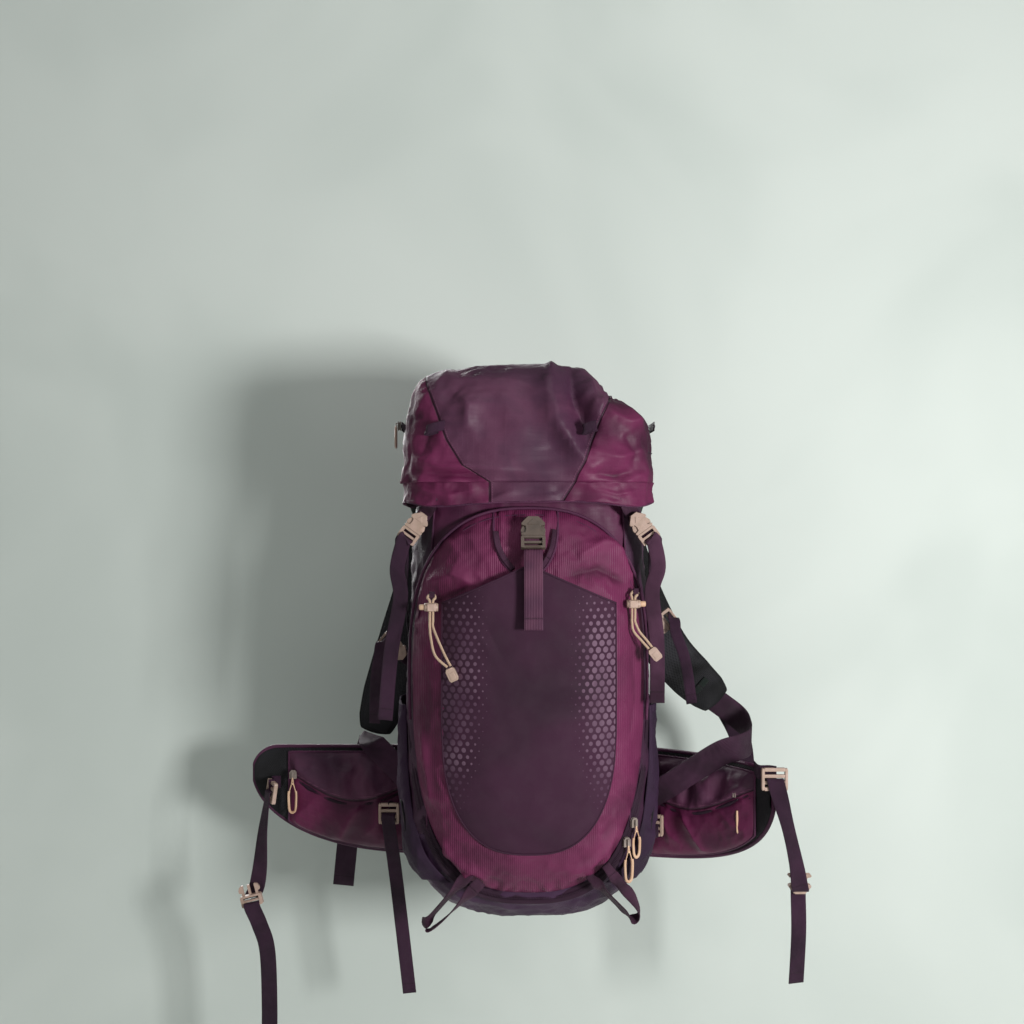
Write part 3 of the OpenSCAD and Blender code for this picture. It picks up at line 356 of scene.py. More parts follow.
webShape = [(-1, -0.4), (-0.93, -1), (-0.5, -0.86), (0, -0.8), (0.5, -0.86), (0.93, -1), (1, -0.4),
            (1, 0.4), (0.93, 1), (0.5, 0.86), (0, 0.8), (-0.5, 0.86), (-0.93, 1), (-1, 0.4)]


def ribbon(name, path, across, width, material, thick=1.5, n=6, straight=0):
    path = [Vector(p) for p in path]
    if isinstance(across[0], (int, float)):
        across = [across] * len(path)
    across = [Vector(a) for a in across]
    pts = path[:straight] + smoothPath(path[straight:], n)
    wide = across[:straight] + smoothPath(across[straight:], n)
    lengths = [0.0]
    for a, b in zip(pts, pts[1:]):
        lengths.append(lengths[-1] + (b - a).length)
    verts, k, last = [], len(webShape), len(pts) - 1
    for i, p in enumerate(pts):
        t = (pts[min(last, i + 1)] - pts[max(0, i - 1)]).normalized()
        u = (wide[i] - t * wide[i].dot(t)).normalized()
        v = t.cross(u)
        verts += [p + u * a * width / 2 + v * b * thick / 2 for a, b in webShape]
    faces, loopUv = [], []
    for i in range(last):
        for j in range(k):
            a, b, c = i * k, (i + 1) * k, (j + 1) % k
            faces.append([a + j, a + c, b + c, b + j])
            for q, s in ((j, i), (c, i), (c, i + 1), (j, i + 1)):
                loopUv.append((webShape[q][0] * width / 2, lengths[s]))
    faces += [list(range(k))[::-1], [last * k + j for j in range(k)]]
    loopUv += [(0, 0)] * (2 * k)
    tail = [lengths[-1] - lengths[i] for i in range(last + 1) for _ in range(k)]
    head = [lengths[i] for i in range(last + 1) for _ in range(k)]
    edge = [abs(a) * width / 2 for _ in pts for a, b in webShape]
    half = [width / 2] * len(verts)
    return makeObject(name, verts, faces, material, loopUv, {"tail": tail, "head": head, "edge": edge,
                                                             "half": half})


def moulded(name, prisms, material, place, bevel=0.8, segments=3):
    verts, faces = [], []
    for outline, y0, y1 in prisms:
        area = sum(a[0] * b[1] - b[0] * a[1] for a, b in zip(outline, outline[1:] + outline[:1]))
        ring = outline if area > 0 else outline[::-1]
        n, o = len(ring), len(verts)
        verts += [place(Vector((x, y0, z))) for x, z in ring] + [place(Vector((x, y1, z))) for x, z in ring]
        faces.append([o + i for i in range(n)])
        faces.append([o + n + i for i in range(n)][::-1])
        faces += [[o + (i + 1) % n, o + i, o + n + i, o + n + (i + 1) % n] for i in range(n)]
    obj = makeObject(name, verts, faces, material)
    soft = obj.modifiers.new("Edges", "BEVEL")
    soft.width = bevel * mm
    soft.segments = segments
    soft.limit_method = "ANGLE"
    soft.angle_limit = math.radians(30)
    obj.modifiers.new("Shading", "WEIGHTED_NORMAL")
    return obj


def box2(x0, x1, z0, z1):
    return [(x0, z0), (x1, z0), (x1, z1), (x0, z1)]


def oval2(cx, cz, rx, rz, n=24):
    return [(cx + rx * math.cos(2 * math.pi * i / n), cz + rz * math.sin(2 * math.pi * i / n))
            for i in range(n)]


def flip2(outline):
    return [(-x, z) for x, z in outline]


def turned(place, phi=0.0, tilt=0.0, yaw=0.0):
    turn = Matrix.Rotation(math.radians(phi), 4, "Y") @ Matrix.Rotation(math.radians(yaw), 4, "Z") \
        @ Matrix.Rotation(math.radians(tilt), 4, "X")
    return lambda p: Vector(place) + turn @ Vector(p)


def joined(name, parts):
    for o in bpy.context.selected_objects:
        o.select_set(False)
    for o in parts:
        bpy.context.view_layer.objects.active = o
        for m in list(o.modifiers):
            bpy.ops.object.modifier_apply(modifier=m.name)
        o.select_set(True)
    bpy.context.view_layer.objects.active = parts[0]
    bpy.ops.object.join()
    parts[0].name = name
    parts[0].select_set(False)
    return parts[0]


# a colour from its hex code, in linear light
def rgb(code):
    return tuple(c / 255 / 12.92 if c < 11 else ((c / 255 + 0.055) / 1.055) ** 2.4
                 for c in bytes.fromhex(code)) + (1,)


class Shader:
    def __init__(self, name):
        self.mat = bpy.data.materials.new(name)
        self.mat.use_nodes = True
        self.tree = self.mat.node_tree
        self.main = self.tree.nodes["Principled BSDF"]
        self.u, self.v = self.split(self.add("ShaderNodeUVMap").outputs[0])[:2]
        self.place = self.add("ShaderNodeTexCoord").outputs["Object"]

    def add(self, kind, **values):
        node = self.tree.nodes.new(kind)
        for key, value in values.items():
            setattr(node, key, value)
        return node

    def put(self, socket, value):
        if isinstance(value, bpy.types.NodeSocket):
            self.tree.links.new(value, socket)
        elif value is not None:
            socket.default_value = value

    def set(self, name, value):
        self.put(self.main.inputs[name], value)

    def split(self, vector):
        node = self.add("ShaderNodeSeparateXYZ")
        self.put(node.inputs[0], vector)
        return node.outputs

    def sum(self, op, a, b=None, c=None):
        node = self.add("ShaderNodeMath", operation=op)
        for socket, value in zip(node.inputs, (a, b, c)):
            self.put(socket, value)
        return node.outputs[0]

    def wave(self, x, pitch, shift=0.0):
        return self.sum("SINE", self.sum("MULTIPLY_ADD", x, 2 * math.pi / pitch, shift))

    def ease(self, x, lo, hi, a=0.0, b=1.0):
        node = self.add("ShaderNodeMapRange", interpolation_type="SMOOTHSTEP")
        for socket, value in zip(node.inputs, (x, lo, hi, a, b)):
            self.put(socket, value)
        return node.outputs[0]

    def noise(self, scale, detail=3.0, kind="FBM", rough=0.55, warp=0.0):
        node = self.add("ShaderNodeTexNoise", noise_type=kind)
        self.put(node.inputs["Vector"], self.place)
        node.inputs["Scale"].default_value = scale
        node.inputs["Detail"].default_value = detail
        node.inputs["Roughness"].default_value = rough
        node.inputs["Distortion"].default_value = warp
        return node.outputs[0]

    def mix(self, share, a, b):
        node = self.add("ShaderNodeMix", data_type="RGBA")
        self.put(node.inputs[0], share)
        self.put(node.inputs[6], a)
        self.put(node.inputs[7], b)
        return node.outputs[2]

    def attribute(self, name):
        return self.add("ShaderNodeAttribute", attribute_name=name).outputs["Fac"]

    def bump(self, height, depth, strength=1.0, before=None):
        node = self.add("ShaderNodeBump")
        node.inputs["Distance"].default_value = depth * mm
        node.inputs["Strength"].default_value = strength
        self.put(node.inputs["Height"], height)
        self.put(node.inputs["Normal"], before)
        return node.outputs[0]


def plain(s, pitch):
    return s.sum("MULTIPLY", s.wave(s.u, pitch), s.wave(s.v, pitch))


def ribbed(s, pitch):
    return s.sum("MULTIPLY_ADD", s.wave(s.u, pitch), 0.8, s.sum("MULTIPLY", s.wave(s.v, pitch * 0.4), 0.2))


def ripstop(s, pitch):
    across = s.sum("GREATER_THAN", s.wave(s.u, pitch * 5), 0.93)
    along = s.sum("GREATER_THAN", s.wave(s.v, pitch * 5), 0.93)
    return s.sum("MULTIPLY_ADD", plain(s, pitch), 0.4, s.sum("MAXIMUM", across, along))


def twill(s, pitch):
    return s.wave(s.sum("ADD", s.u, s.sum("MULTIPLY", s.v, 1.4)), pitch)


def knit(s, pitch):
    zigzag = s.sum("MULTIPLY", s.sum("ABSOLUTE", s.wave(s.u, pitch * 2)), pitch * 0.6)
    return s.wave(s.sum("ADD", s.v, zigzag), pitch)


def holes(s, pitch):
    def cell(x, step, shift):
        return s.sum("SUBTRACT", s.sum("FRACT", s.sum("MULTIPLY_ADD", x, 1 / step, shift)), 0.5)
    found = []
    for shift in (0.0, 0.5):
        a = s.sum("MULTIPLY", cell(s.u, pitch, shift), pitch)
        b = s.sum("MULTIPLY", cell(s.v, pitch * 1.732, shift), pitch * 1.732)
        found.append(s.sum("SQRT", s.sum("ADD", s.sum("MULTIPLY", a, a), s.sum("MULTIPLY", b, b))))
    return s.ease(s.sum("MINIMUM", *found), pitch * 0.24, pitch * 0.42)


def cloth(name, base, shade, weave, pitch, rough=0.6, sheen=0.25, depth=0.12, crease=0.8, extra=None):
    s = Shader(name)
    threads = weave(s, pitch)
    wide = s.ease(s.noise(7, 3, warp=0.6), 0.35, 0.68)
    colour = s.mix(wide, rgb(base), rgb(shade))
    colour = s.mix(s.ease(threads, -1, 1, 0.22, 0.0), colour, rgb(shade))
    # painted shade darkens the hollows and a painted highlight lightens the ridges, both read from the
    # relief's lift
    lift = s.attribute("lift")
    colour = s.mix(s.ease(lift, -5, 0, 0.6, 0.0), colour, tuple(c * 0.55 for c in rgb(shade)[:3]) + (1,))
    colour = s.mix(s.ease(lift, 1, 6, 0.0, 0.3), colour, tuple(c * 1.5 for c in rgb(base)[:3]) + (1,))
    height = s.bump(threads, depth, 0.7, s.bump(s.noise(30, 4, "RIDGED_MULTIFRACTAL", 0.5, 0.8), crease,
                                                0.5))
    if extra:
        colour, height = extra(s, colour, height)
    s.set("Base Color", colour)
    s.set("Normal", height)
    s.set("Roughness", s.ease(s.noise(45, 2), 0.3, 0.7, rough - 0.06, rough + 0.08))
    s.set("Sheen Weight", sheen * 0.3)
    s.set("Sheen Roughness", 0.4)
    s.set("Sheen Tint", rgb(base))
    s.set("Specular IOR Level", 0.3)
    return s.mat


def seamed(inner, innerShade, stitch="7a4a63"):
    # cloth inside a seam has its own colour; the seam is a groove between two rows of stitches
    def extra(s, colour, height):
        d = s.attribute("seam")
        inside = s.ease(d, -0.4, 0.4)
        wide = s.ease(s.noise(9, 3, warp=0.8), 0.3, 0.7)
        own = s.mix(wide, rgb(inner), rgb(innerShade))
        colour = s.mix(inside, colour, own)
        groove = s.ease(s.sum("ABSOLUTE", d), 0.2, 2.2)
        row = s.sum("ABSOLUTE", s.sum("SUBTRACT", d, 3.4))
        dashes = s.sum("MULTIPLY", s.ease(row, 0.35, 0.8, 1.0, 0.0),
                       s.sum("GREATER_THAN", s.wave(s.v, 3.2), -0.4))
        colour = s.mix(s.ease(groove, 0, 1, 0.75, 0.0), colour, rgb("1c0a16"))
        colour = s.mix(s.sum("MULTIPLY", dashes, 0.6), colour, rgb(stitch))
        return colour, s.bump(groove, 1.6, 0.8, s.bump(dashes, 0.5, 0.8, height))
    return extra


def webbing(name, base, shade, weave=plain, pitch=1.1, rough=0.55):
    s = Shader(name)
    threads = weave(s, pitch)
    margin = s.sum("SUBTRACT", s.attribute("half"), s.attribute("edge"))
    colour = s.mix(s.ease(s.noise(14, 3), 0.35, 0.65), rgb(base), rgb(shade))
    colour = s.mix(s.ease(threads, -1, 1, 0.35, 0.0), colour, rgb(shade))
    colour = s.mix(s.ease(margin, 0.2, 1.4, 0.35, 0.0), colour, rgb(shade))
    hem = s.ease(s.sum("ABSOLUTE", s.sum("SUBTRACT", s.attribute("tail"), 14)), 0.5, 1.1, 1.0, 0.0)
    dashes = s.sum("MULTIPLY", hem, s.sum("GREATER_THAN", s.wave(s.u, 2.4), -0.5))
    colour = s.mix(s.sum("MULTIPLY", dashes, 0.7), colour, rgb("2b1524"))
    height = s.bump(threads, 0.3, 0.9, s.bump(s.noise(60, 2), 0.3, 0.4))
    height = s.bump(s.sum("MULTIPLY", hem, -1.0), 0.6, 0.9, height)
    s.set("Base Color", colour)
    s.set("Normal", height)
    s.set("Roughness", s.ease(s.noise(80, 2), 0.3, 0.7, rough - 0.05, rough + 0.1))
    s.set("Sheen Weight", 0.06)
    s.set("Sheen Tint", rgb(base))
    s.set("Specular IOR Level", 0.3)
    return s.mat


def plastic(name, base, shade, rough=0.38, grain=0.15):
    s = Shader(name)
    worn = s.sum("MULTIPLY", s.ease(s.add("ShaderNodeNewGeometry").outputs["Pointiness"], 0.52, 0.62), 0.5)
    light = tuple(min(1, c * 1.45) for c in rgb(base)[:3]) + (1,)
    colour = s.mix(s.ease(s.noise(35, 4), 0.35, 0.7), rgb(base), rgb(shade))
    colour = s.mix(worn, colour, light)
    s.set("Base Color", colour)
    s.set("Normal", s.bump(s.noise(900, 2), grain, 0.5))
    s.set("Roughness", s.ease(s.noise(160, 3), 0.3, 0.7, rough - 0.06, rough + 0.12))
    s.set("Specular IOR Level", 0.5)
    return s.mat


def cordMaterial():
    s = Shader("Elastic cord")
    x, y, z = s.split(s.place)
    braid = s.sum("MULTIPLY", s.wave(s.sum("ADD", z, x), 0.0022), s.wave(s.sum("SUBTRACT", z, x), 0.0022))
    s.set("Base Color", s.mix(s.ease(braid, -0.8, 0.8), rgb("a8866c"), rgb("dcc0a4")))
    s.set("Normal", s.bump(braid, 0.35, 0.8))
    s.set("Roughness", 0.7)
    s.set("Sheen Weight", 0.2)
    return s.mat


def dotted(s, colour, height):
    # generic halftone: rows of dots that grow towards the panel's sides
    pitch, row = 9.4, 8.2
    side = s.sum("ABSOLUTE", s.u)

    def lattice(shift):
        a = s.sum("FRACT", s.sum("MULTIPLY_ADD", s.u, 1 / pitch, shift))
        b = s.sum("FRACT", s.sum("MULTIPLY_ADD", s.v, 0.5 / row, shift))
        a = s.sum("MULTIPLY", s.sum("SUBTRACT", a, 0.5), pitch)
        b = s.sum("MULTIPLY", s.sum("SUBTRACT", b, 0.5), 2 * row)
        b = s.sum("MULTIPLY", s.sum("MULTIPLY", b, b), 0.8)
        return s.sum("SQRT", s.sum("ADD", s.sum("MULTIPLY", a, a), b))
    d = s.sum("MINIMUM", lattice(0.0), lattice(0.5))
    tall = s.sum("MULTIPLY", s.ease(s.v, -452, -330), s.ease(s.v, -190, -120, 1.0, 0.35))
    reach = s.ease(s.v, -420, -250, 62.0, 40.0)
    size = s.sum("MULTIPLY", s.sum("MULTIPLY", s.ease(s.sum("SUBTRACT", side, reach), 0, 44), tall), 3.5)
    dots = s.ease(s.sum("SUBTRACT", size, d), -0.1, 0.35)
    tone = s.mix(s.ease(s.noise(11, 3, warp=0.5), 0.35, 0.66), rgb("4a2d43"), rgb("705668"))
    colour = s.mix(dots, colour, tone)
    return colour, s.bump(dots, 0.25, 0.5, height)


materials = {
    "lid": cloth("Lid nylon", "641f45", "421530", ripstop, 1.3, 0.52, 0.3, 0.1, 1.2,
                 seamed("5a3149", "412339")),
    "plum": cloth("Ribbed nylon", "6c274c", "4b1935", ribbed, 2.5, 0.52, 0.3, 0.28, 0.7),
    "band": cloth("Plum nylon", "582042", "38132c", ripstop, 1.3, 0.55, 0.3, 0.1, 0.8),
    "dusky": cloth("Dusky nylon", "41243a", "2b1728", ripstop, 1.3, 0.48, 0.3, 0.1, 0.8),
    "boot": cloth("Coated nylon", "3f2540", "2b182e", plain, 1.0, 0.46, 0.25, 0.08, 0.9),
    "stretch": cloth("Stretch panel", "3d1c33", "2f1628", knit, 1.0, 0.72, 0.35, 0.1, 0.5, dotted),
    "knit": cloth("Side knit", "341c37", "231426", knit, 1.0, 0.68, 0.35, 0.1, 0.8),
    "mesh": cloth("Spacer mesh", "2b2a2e", "060606", holes, 4.2, 0.8, 0.15, 0.9, 0.6),
    "black": cloth("Black binding", "161518", "0a0a0b", plain, 0.9, 0.7, 0.2, 0.15, 0.3),
    "piping": cloth("Plum piping", "5a2c4a", "3f1c36", plain, 0.9, 0.5, 0.3, 0.2, 0.3),
    "web": webbing("Webbing", "58354c", "33192b"),
    "webDark": webbing("Dark webbing", "3f2239", "271224"),
    "webRib": webbing("Ribbed webbing", "65394f", "42223a", ribbed, 1.9),
    "webTwill": webbing("Twill webbing", "4c2b43", "2d1627", twill, 2.6),
    "corner": webbing("Padded corner", "2e3833", "161c19"),
    "tan": plastic("Tan acetal", "b2988b", "96806f"),
    "grey": plastic("Taupe acetal", "5f5249", "4a4039"),
    "peach": plastic("Peach rubber", "cdab8d", "b78f72", 0.5),
    "metal": plastic("Zip slider", "8c8078", "5d544e", 0.32),
    "zip": cloth("Zip tape", "34182e", "22101f", ribbed, 1.2, 0.6, 0.2, 0.3, 0.3),
    "sheet": plastic("Frame sheet", "2a2b2e", "1c1d1f", 0.5),
    "stay": plastic("Frame stay", "b5b8bb", "94979a", 0.3),
    "cord": cordMaterial(),
}
materials["stay"].node_tree.nodes["Principled BSDF"].inputs["Metallic"].default_value = 1
print("materials", len(materials))


# seams of the lid's front as (z, x), and its folds as (line, width, depth)
leftSeam = [(9, -49), (15, -58), (30, -83), (62, -103), (98, -116), (135, -130), (161, -134)]
rightSeam = [(9, 57), (18, 60), (34, 69), (62, 79), (90, 90), (124, 107), (161, 112)]
lidFolds = [
    ([(30, 168), (24, 120), (36, 84), (60, 48), (82, 20)], 8, 11),
    ([(52, 158), (58, 118), (72, 78), (74, 50)], 12, -15),
    ([(10, 150), (-2, 110), (16, 70), (48, 34)], 12, -5),
    ([(96, 130), (92, 108), (84, 88)], 6, 7),
    ([(80, 148), (84, 112), (74, 84)], 6, 5),
    ([(-92, 118), (-74, 104), (-80, 72)], 9, 6),
    ([(-150, 44), (-110, 30), (-60, 28), (-20, 24)], 7, 7),
    ([(-146, 24), (-104, 19), (-52, 17)], 5, -6),
    ([(66, 22), (104, 17), (146, 26)], 6, -6),
    ([(70, 50), (110, 40), (150, 52)], 9, 6),
    ([(-60, 60), (-20, 46), (30, 56)], 12, 4),
    ([(96, 100), (124, 84), (150, 92)], 8, 5),
    ([(-10, 120), (-20, 84), (0, 50)], 18, 4),
    ([(-140, 100), (-126, 70), (-134, 40)], 10, -5),
    ([(120, 70), (132, 46), (128, 24)], 9, -5),
]


def lidSeam(p):
    return min(p.x - tableAt(leftSeam, p.z), tableAt(rightSeam, p.z) - p.x)


def lidRelief(u, v, p):
    front = ease(-120, -190, p.y)
    d = lidSeam(p)
    lift = 1.5 * folds(p.x, p.z, lidFolds) * front
    lift += 3.2 * crumple(p, 46, 3.1) * (0.5 + 0.5 * front) + 1.2 * crumple(p, 17, 8.2)
    lift += 1.5 * math.exp(-(d / 7) ** 2) * ripple(p, 5, 2.0) - 1.4 * math.exp(-(d / 2.0) ** 2)
    low = math.exp(-((p.z - lid["seam"]) / 9) ** 2)
    lift += 5 * low * (0.4 + ripple(p, 24, 5.0)) + 4 * math.exp(-((p.z - 24) / 12) ** 2) * front
    shoulder = ease(60, 125, p.x) * ease(84, 150, p.z)
    lift -= 30 * shoulder + 7 * ease(130, 160, p.x) + 4 * ease(130, 160, -p.x)
    lift += 7 * ease(80, 130, -p.x) * ease(100, 135, p.z) * ease(-10, -90, p.y)
    ruffle = ease(88, 104, p.x) * ease(134, 122, p.x) * ease(108, 124, p.z)
    return min(lift + 1.4 * ruffle * math.sin(p.x * 0.7), 13)


def lidCover():
    def at(u, v):
        t = u * 360
        if v < 0.84:
            return lidPt(t, lid["seam"] + lid["h"] * math.sin(v / 0.84 * math.pi / 2))
        r = 1 - (v - 0.84) / 0.16
        rim = lidPt(t, lid["seam"] + lid["h"])
        return Vector((rim.x * r, lid["y"] + (rim.y - lid["y"]) * r, rim.z + 3 * (1 - r * r)))
    return surface("lidCover", at, 240, 96, materials["lid"], (1000, 300), lidRelief, True,
                   lambda p: p - Vector((0, lid["y"], 40)), {"seam": lambda u, v, p: lidSeam(p)}, 1.4)


def skirtSeam(p):
    return min(p.x + 49, lerp(40, 57, clamp01((p.z + 18) / 27)) - p.x)


def lidSkirt():
    def at(u, v):
        t = 155 + 230 * u
        sag = 3 * math.sin(u * 19 + 1) * (1 - v)
        return lidPt(t, lerp(lid["seam"] - lid["skirt"] - sag, lid["seam"] + 1, v),
                     -2 - 2 * math.sin(math.pi * v))

    def relief(u, v, p):
        lift = 2.6 * crumple(p, 26, 1.0) + 1.6 * math.sin(p.x * 0.16 + 6 * ripple(p, 60)) * (1 - v)
        lift += folds(p.x, p.z, [([(-48, -14), (-20, -2), (-4, 6)], 4, 4),
                                 ([(36, -16), (22, -4), (28, 6)], 4, 4),
                                 ([(70, 4), (110, -6), (150, 2)], 5, 4),
                                 ([(-140, 2), (-100, -8), (-60, 2)], 5, 4)])
        return lift - 1.2 * math.exp(-(skirtSeam(p) / 2) ** 2)
    skirt = surface("lidSkirt", at, 220, 16, materials["lid"], (700, 27), relief, False,
                    lambda p: p - Vector((0, lid["y"], 0)), {"seam": lambda u, v, p: skirtSeam(p)}, 1.4)
    hem = tube("lidHem", [at(i / 160, 0) for i in range(161)], 1.5, materials["piping"], flat=0.7)
    return [skirt, hem]


def lidLining():
    def at(u, v):
        rim = lidPt(u * 360, 48, -3)
        r = 1 - 0.98 * v
        return Vector((rim.x * r, lid["y"] + (rim.y - lid["y"]) * r, 48))
    return surface("lidLining", at, 96, 18, materials["dusky"], (900, 110),
                   lambda u, v, p: 1.2 * crumple(p, 30, 4.0), True, lambda p: -upward, None, 0.8)


def teeth(name, path, normals, width):
    verts, faces = [], []
    step, along = 2.0, 0.0
    for i in range(len(path) - 1):
        a, b = path[i], path[i + 1]
        length = (b - a).length
        while along < length:
            p = a + (b - a) * along / length
            d, n = (b - a).normalized(), normals[i]
            u = d.cross(n)
            o = len(verts)
            verts += [p + u * x * width / 2 + d * z + n * y for y in (0, 1.3) for x, z in
                      ((-1, -0.6), (1, -0.6), (1, 0.6), (-1, 0.6))]
            faces += [[o + k for k in f] for f in ((4, 5, 6, 7), (0, 1, 5, 4), (1, 2, 6, 5), (2, 3, 7, 6),
                                                   (3, 0, 4, 7))]
            along += step
        along -= length
    return makeObject(name, verts, faces, materials["zip"])


def zipTape(name, path, normals, width):
    across = [(path[min(i + 1, len(path) - 1)] - path[max(i - 1, 0)]).cross(n) for i,
              n in enumerate(normals)]
    tape = ribbon(name + "Tape", path, across, width, materials["zip"], 1.2, 2)
    row = teeth(name + "Teeth", path, normals, 4)
    return [tape, row]


def sliderBody(name, place, material="metal"):
    prisms = [([(-5, -6), (5, -6), (5, 3), (2.4, 6), (-2.4, 6), (-5, 3)], -4, -2.8),
              ([(-5, -6), (5, -6), (5, 3), (2.4, 6), (-2.4, 6), (-5, 3)], -1.2, 0),
              (box2(-0.8, 0.8, -5, 5), -3, -1), (box2(-1.4, 1.4, -4, -2.6), -6.6, -3.5),
              (box2(-1.4, 1.4, 2.6, 4), -6.6, -3.5), (box2(-1.4, 1.4, -4, 4), -7, -5.8)]
    return moulded(name, prisms, materials[material], place, 0.4, 2)


def ringPull(name, place, length, material="tan"):
    w = 4.4
    ring = [(w * math.cos(math.radians(a)), -5 + w * math.sin(math.radians(a))) for a in range(0, 181, 20)]
    ring += [(w * math.cos(math.radians(a)), -length + w + w * math.sin(math.radians(a)))
             for a in range(180, 361, 20)]
    return tube(name, [place(Vector((x, -6.6, z))) for x, z in ring], 1.5, materials[material], True)


def cordPull(name, place, length):
    # thin cord from the slider to the two arms of a U-shaped rubber grip
    knot, low = -length * 0.46, -length
    strings = [(-4.6, -6.8, knot + 1), (-1.4, -6.8, knot * 0.5), (0, -6.4, -3.5), (1.4, -6.8, knot * 0.5),
               (4.6, -6.8, knot + 1)]
    parts = [tube(name, [place(p) for p in smoothPath(strings, 4)], 0.8, materials["peach"])]
    grip = [(-4.8, -6.8, knot + 2), (-5.4, -6.8, knot - 5), (-4.4, -6.8, low + 6), (-1.6, -6.8, low + 1.4),
            (1.6, -6.8, low + 1.4),
            (4.4, -6.8, low + 6), (5.4, -6.8, knot - 5), (4.8, -6.8, knot + 2)]
    parts.append(tube(name + "Grip", [place(p) for p in smoothPath(grip, 4)], 2.0, materials["peach"],
                      flat=0.75))
    knotted = tube(name + "Knot", [place(p) for p in ((-1.6, -6.8, knot * 0.52), (0, -7.2, knot * 0.5),
                                                      (1.6, -6.8, knot * 0.52))], 1.3,
                   materials["peach"])
    return joined(name, parts + [knotted])


def ride(body, *objs, slot=None, replaces=()):
    for o in objs:
        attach(o, body)
    if replaces:
        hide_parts(*replaces)


cover = lidCover()
ride("lid", cover, slot="plum_nylon", replaces=["lid_shell"])
skirtParts = lidSkirt()
ride("lid", *skirtParts, slot="plum_nylon", replaces=["lid_skirt"])
ride("lid", lidLining(), slot="dusky_nylon", replaces=["lid_lining"])

lidZip = {"z": 84, "width": 12, "from": 185, "to": -5}
zipPath = [lidPt(lerp(lidZip["from"], lidZip["to"], k / 60), lidZip["z"], 2.2) for k in range(61)]
zipNormals = [Vector((p.x, p.y - lid["y"], 0)).normalized() for p in zipPath]
lidZipParts = zipTape("lidZip", zipPath, zipNormals, lidZip["width"])
ride("lid", *lidZipParts, slot="dark_nylon", replaces=["lid_zip"])
sliderAt = turned(lidPt(lidZip["from"] + 1, lidZip["z"], 3.3), 0, 0, -90)
lidSliderParts = [sliderBody("lidSlider", sliderAt), ringPull("lidSliderPull", sliderAt, 28)]
ride("lid_slider", *lidSliderParts, slot="tan_acetal", replaces=["lid_slider"])


def lidLoop(side):
    # folded strip with both ends in the seam
    x = -104 if side < 0 else 82
    reach = 24 if side < 0 else 15

    def y(at):
        return lid["y"] - lid["d"] / 2 * dome(78) * arch(at / (lid["w"] / 2 * dome(78)), lid["n"])
    steps = [(2, -1, 80), (0.35, -7, 78), (0.8, -9.5, 75), (1.0, -8, 73), (0.8, -4.5, 73), (0.35, -2, 76),
             (-2 / reach, -0.5, 78)]
    places = [(x - reach * (a if abs(a) < 2 else 0), d, z) for a, d, z in steps]
    path = [(at, y(at) + d, z) for at, d, z in places]
    return ribbon("lidLoop" + "LR"[side > 0], path, (0.35, 0, 1), 12, materials["webDark"], 1.5, 5)


loops = [lidLoop(-1), lidLoop(1)]
ride("lid", *loops, slot="webbing", replaces=["lid_loops"])
print("lid")


# side-release buckles, drawn as flat outlines (x, z) with a depth in y; web is the webbing's width
buckleRim = 5


def receiverPrisms(web):
    w = (web + buckleRim) / 2
    half = [(w - 1, 0), (w, 1.6), (w - 0.4, 3.4), (w - 5.4, 4.6), (w - 6.2, 8.5), (w - 5.4, 12.6),
            (w - 0.6, 14), (w - 0.4, 16.5),
            (w - 3.4, 20), (w - 7.4, 24), (w - 8.6, 25.4)]
    face = half + [(-x, z) for x, z in half[::-1]]
    slot = web / 2 + 0.6
    sides = [([(s * x, z) for x, z in [(w - 4.6, 13.4), (w - 0.8, 14), (w - 0.6, 16.5), (w - 3.6, 20),
                                       (w - 7.8, 23.6)]], -2.6, 2.6)
             for s in (-1, 1)]
    ridge = [([(-w + 7.4, 14.2), (w - 7.4, 14.2), (0, 21.6)], -5.2, -4.2)]
    return [(face, -4.5, -2.5), (face, 2.5, 4.5), (box2(-slot + 5, slot - 5, 22.6, 25.2), -2.6, 2.6),
            (box2(-w + 7, w - 7, 16.6, 18.6), -2.6, 2.6)] + sides + ridge


def plugPrisms(web):
    w, s = (web + buckleRim) / 2, web / 2 + 0.6 - (9 - buckleRim) / 2
    prong = [(s - 3, -1), (s + 0.6, -1), (w - 3.6, 3.5), (w - 0.2, 4.6), (w + 0.3, 8), (w - 1.6, 12.4),
             (w - 5, 14.5),
             (w - 7, 14), (w - 6.6, 6)]
    rails = [([(s, -16.5), (w, -15.6), (w, -2), (w - 1.5, -0.3), (s, -0.3)], -4.2, 4.2)]
    out = [(prong, -2.1, 2.1), (flip2(prong), -2.1, 2.1), (box2(-1.6, 1.6, -1, 14), -2, 2)]
    out += rails + [(flip2(rails[0][0]), -4.2, 4.2)]
    for z0, y0 in ((-16.4, -4.4), (-9.8, -2.8), (-3.2, -4.4)):
        out.append((box2(-s - 0.4, s + 0.4, z0, z0 + 2.9), y0, -y0))
    for k in range(3):
        out.append((box2(-s + 2, s - 2, -15.9 + k * 0.9, -15.5 + k * 0.9), -4.9, -4.2))
    return out


def ladderPrisms(web):
    w, s = web / 2 + 4.5, web / 2 + 0.6
    out = [([(s, -13.5), (w - 1, -14.8), (w, -12), (w, 12), (w - 1, 14.8), (s, 13.5)], -2.8, 2.8)]
    out.append((flip2(out[0][0]), -2.8, 2.8))
    for z0, z1, y in ((-14.8, -10.2, 2.9), (-6.3, -2, 2.2), (1.9, 6.2, 2.2), (10.2, 14.8, 2.9)):
        out.append((box2(-s - 0.5, s + 0.5, z0, z1), -y, y))
    return out


def buckleHalf(name, prisms, place, material="tan"):
    return moulded(name, prisms, materials[material], place, 0.9, 3)


lidBuckle = {"x": 147, "y": -208, "z": -51, "turn": 36}
frontBuckle = {"at": (5, -253, -58), "turn": 24}
sideBuckle = {-1: (-186, -98, -209), 1: (186, -98, -177)}


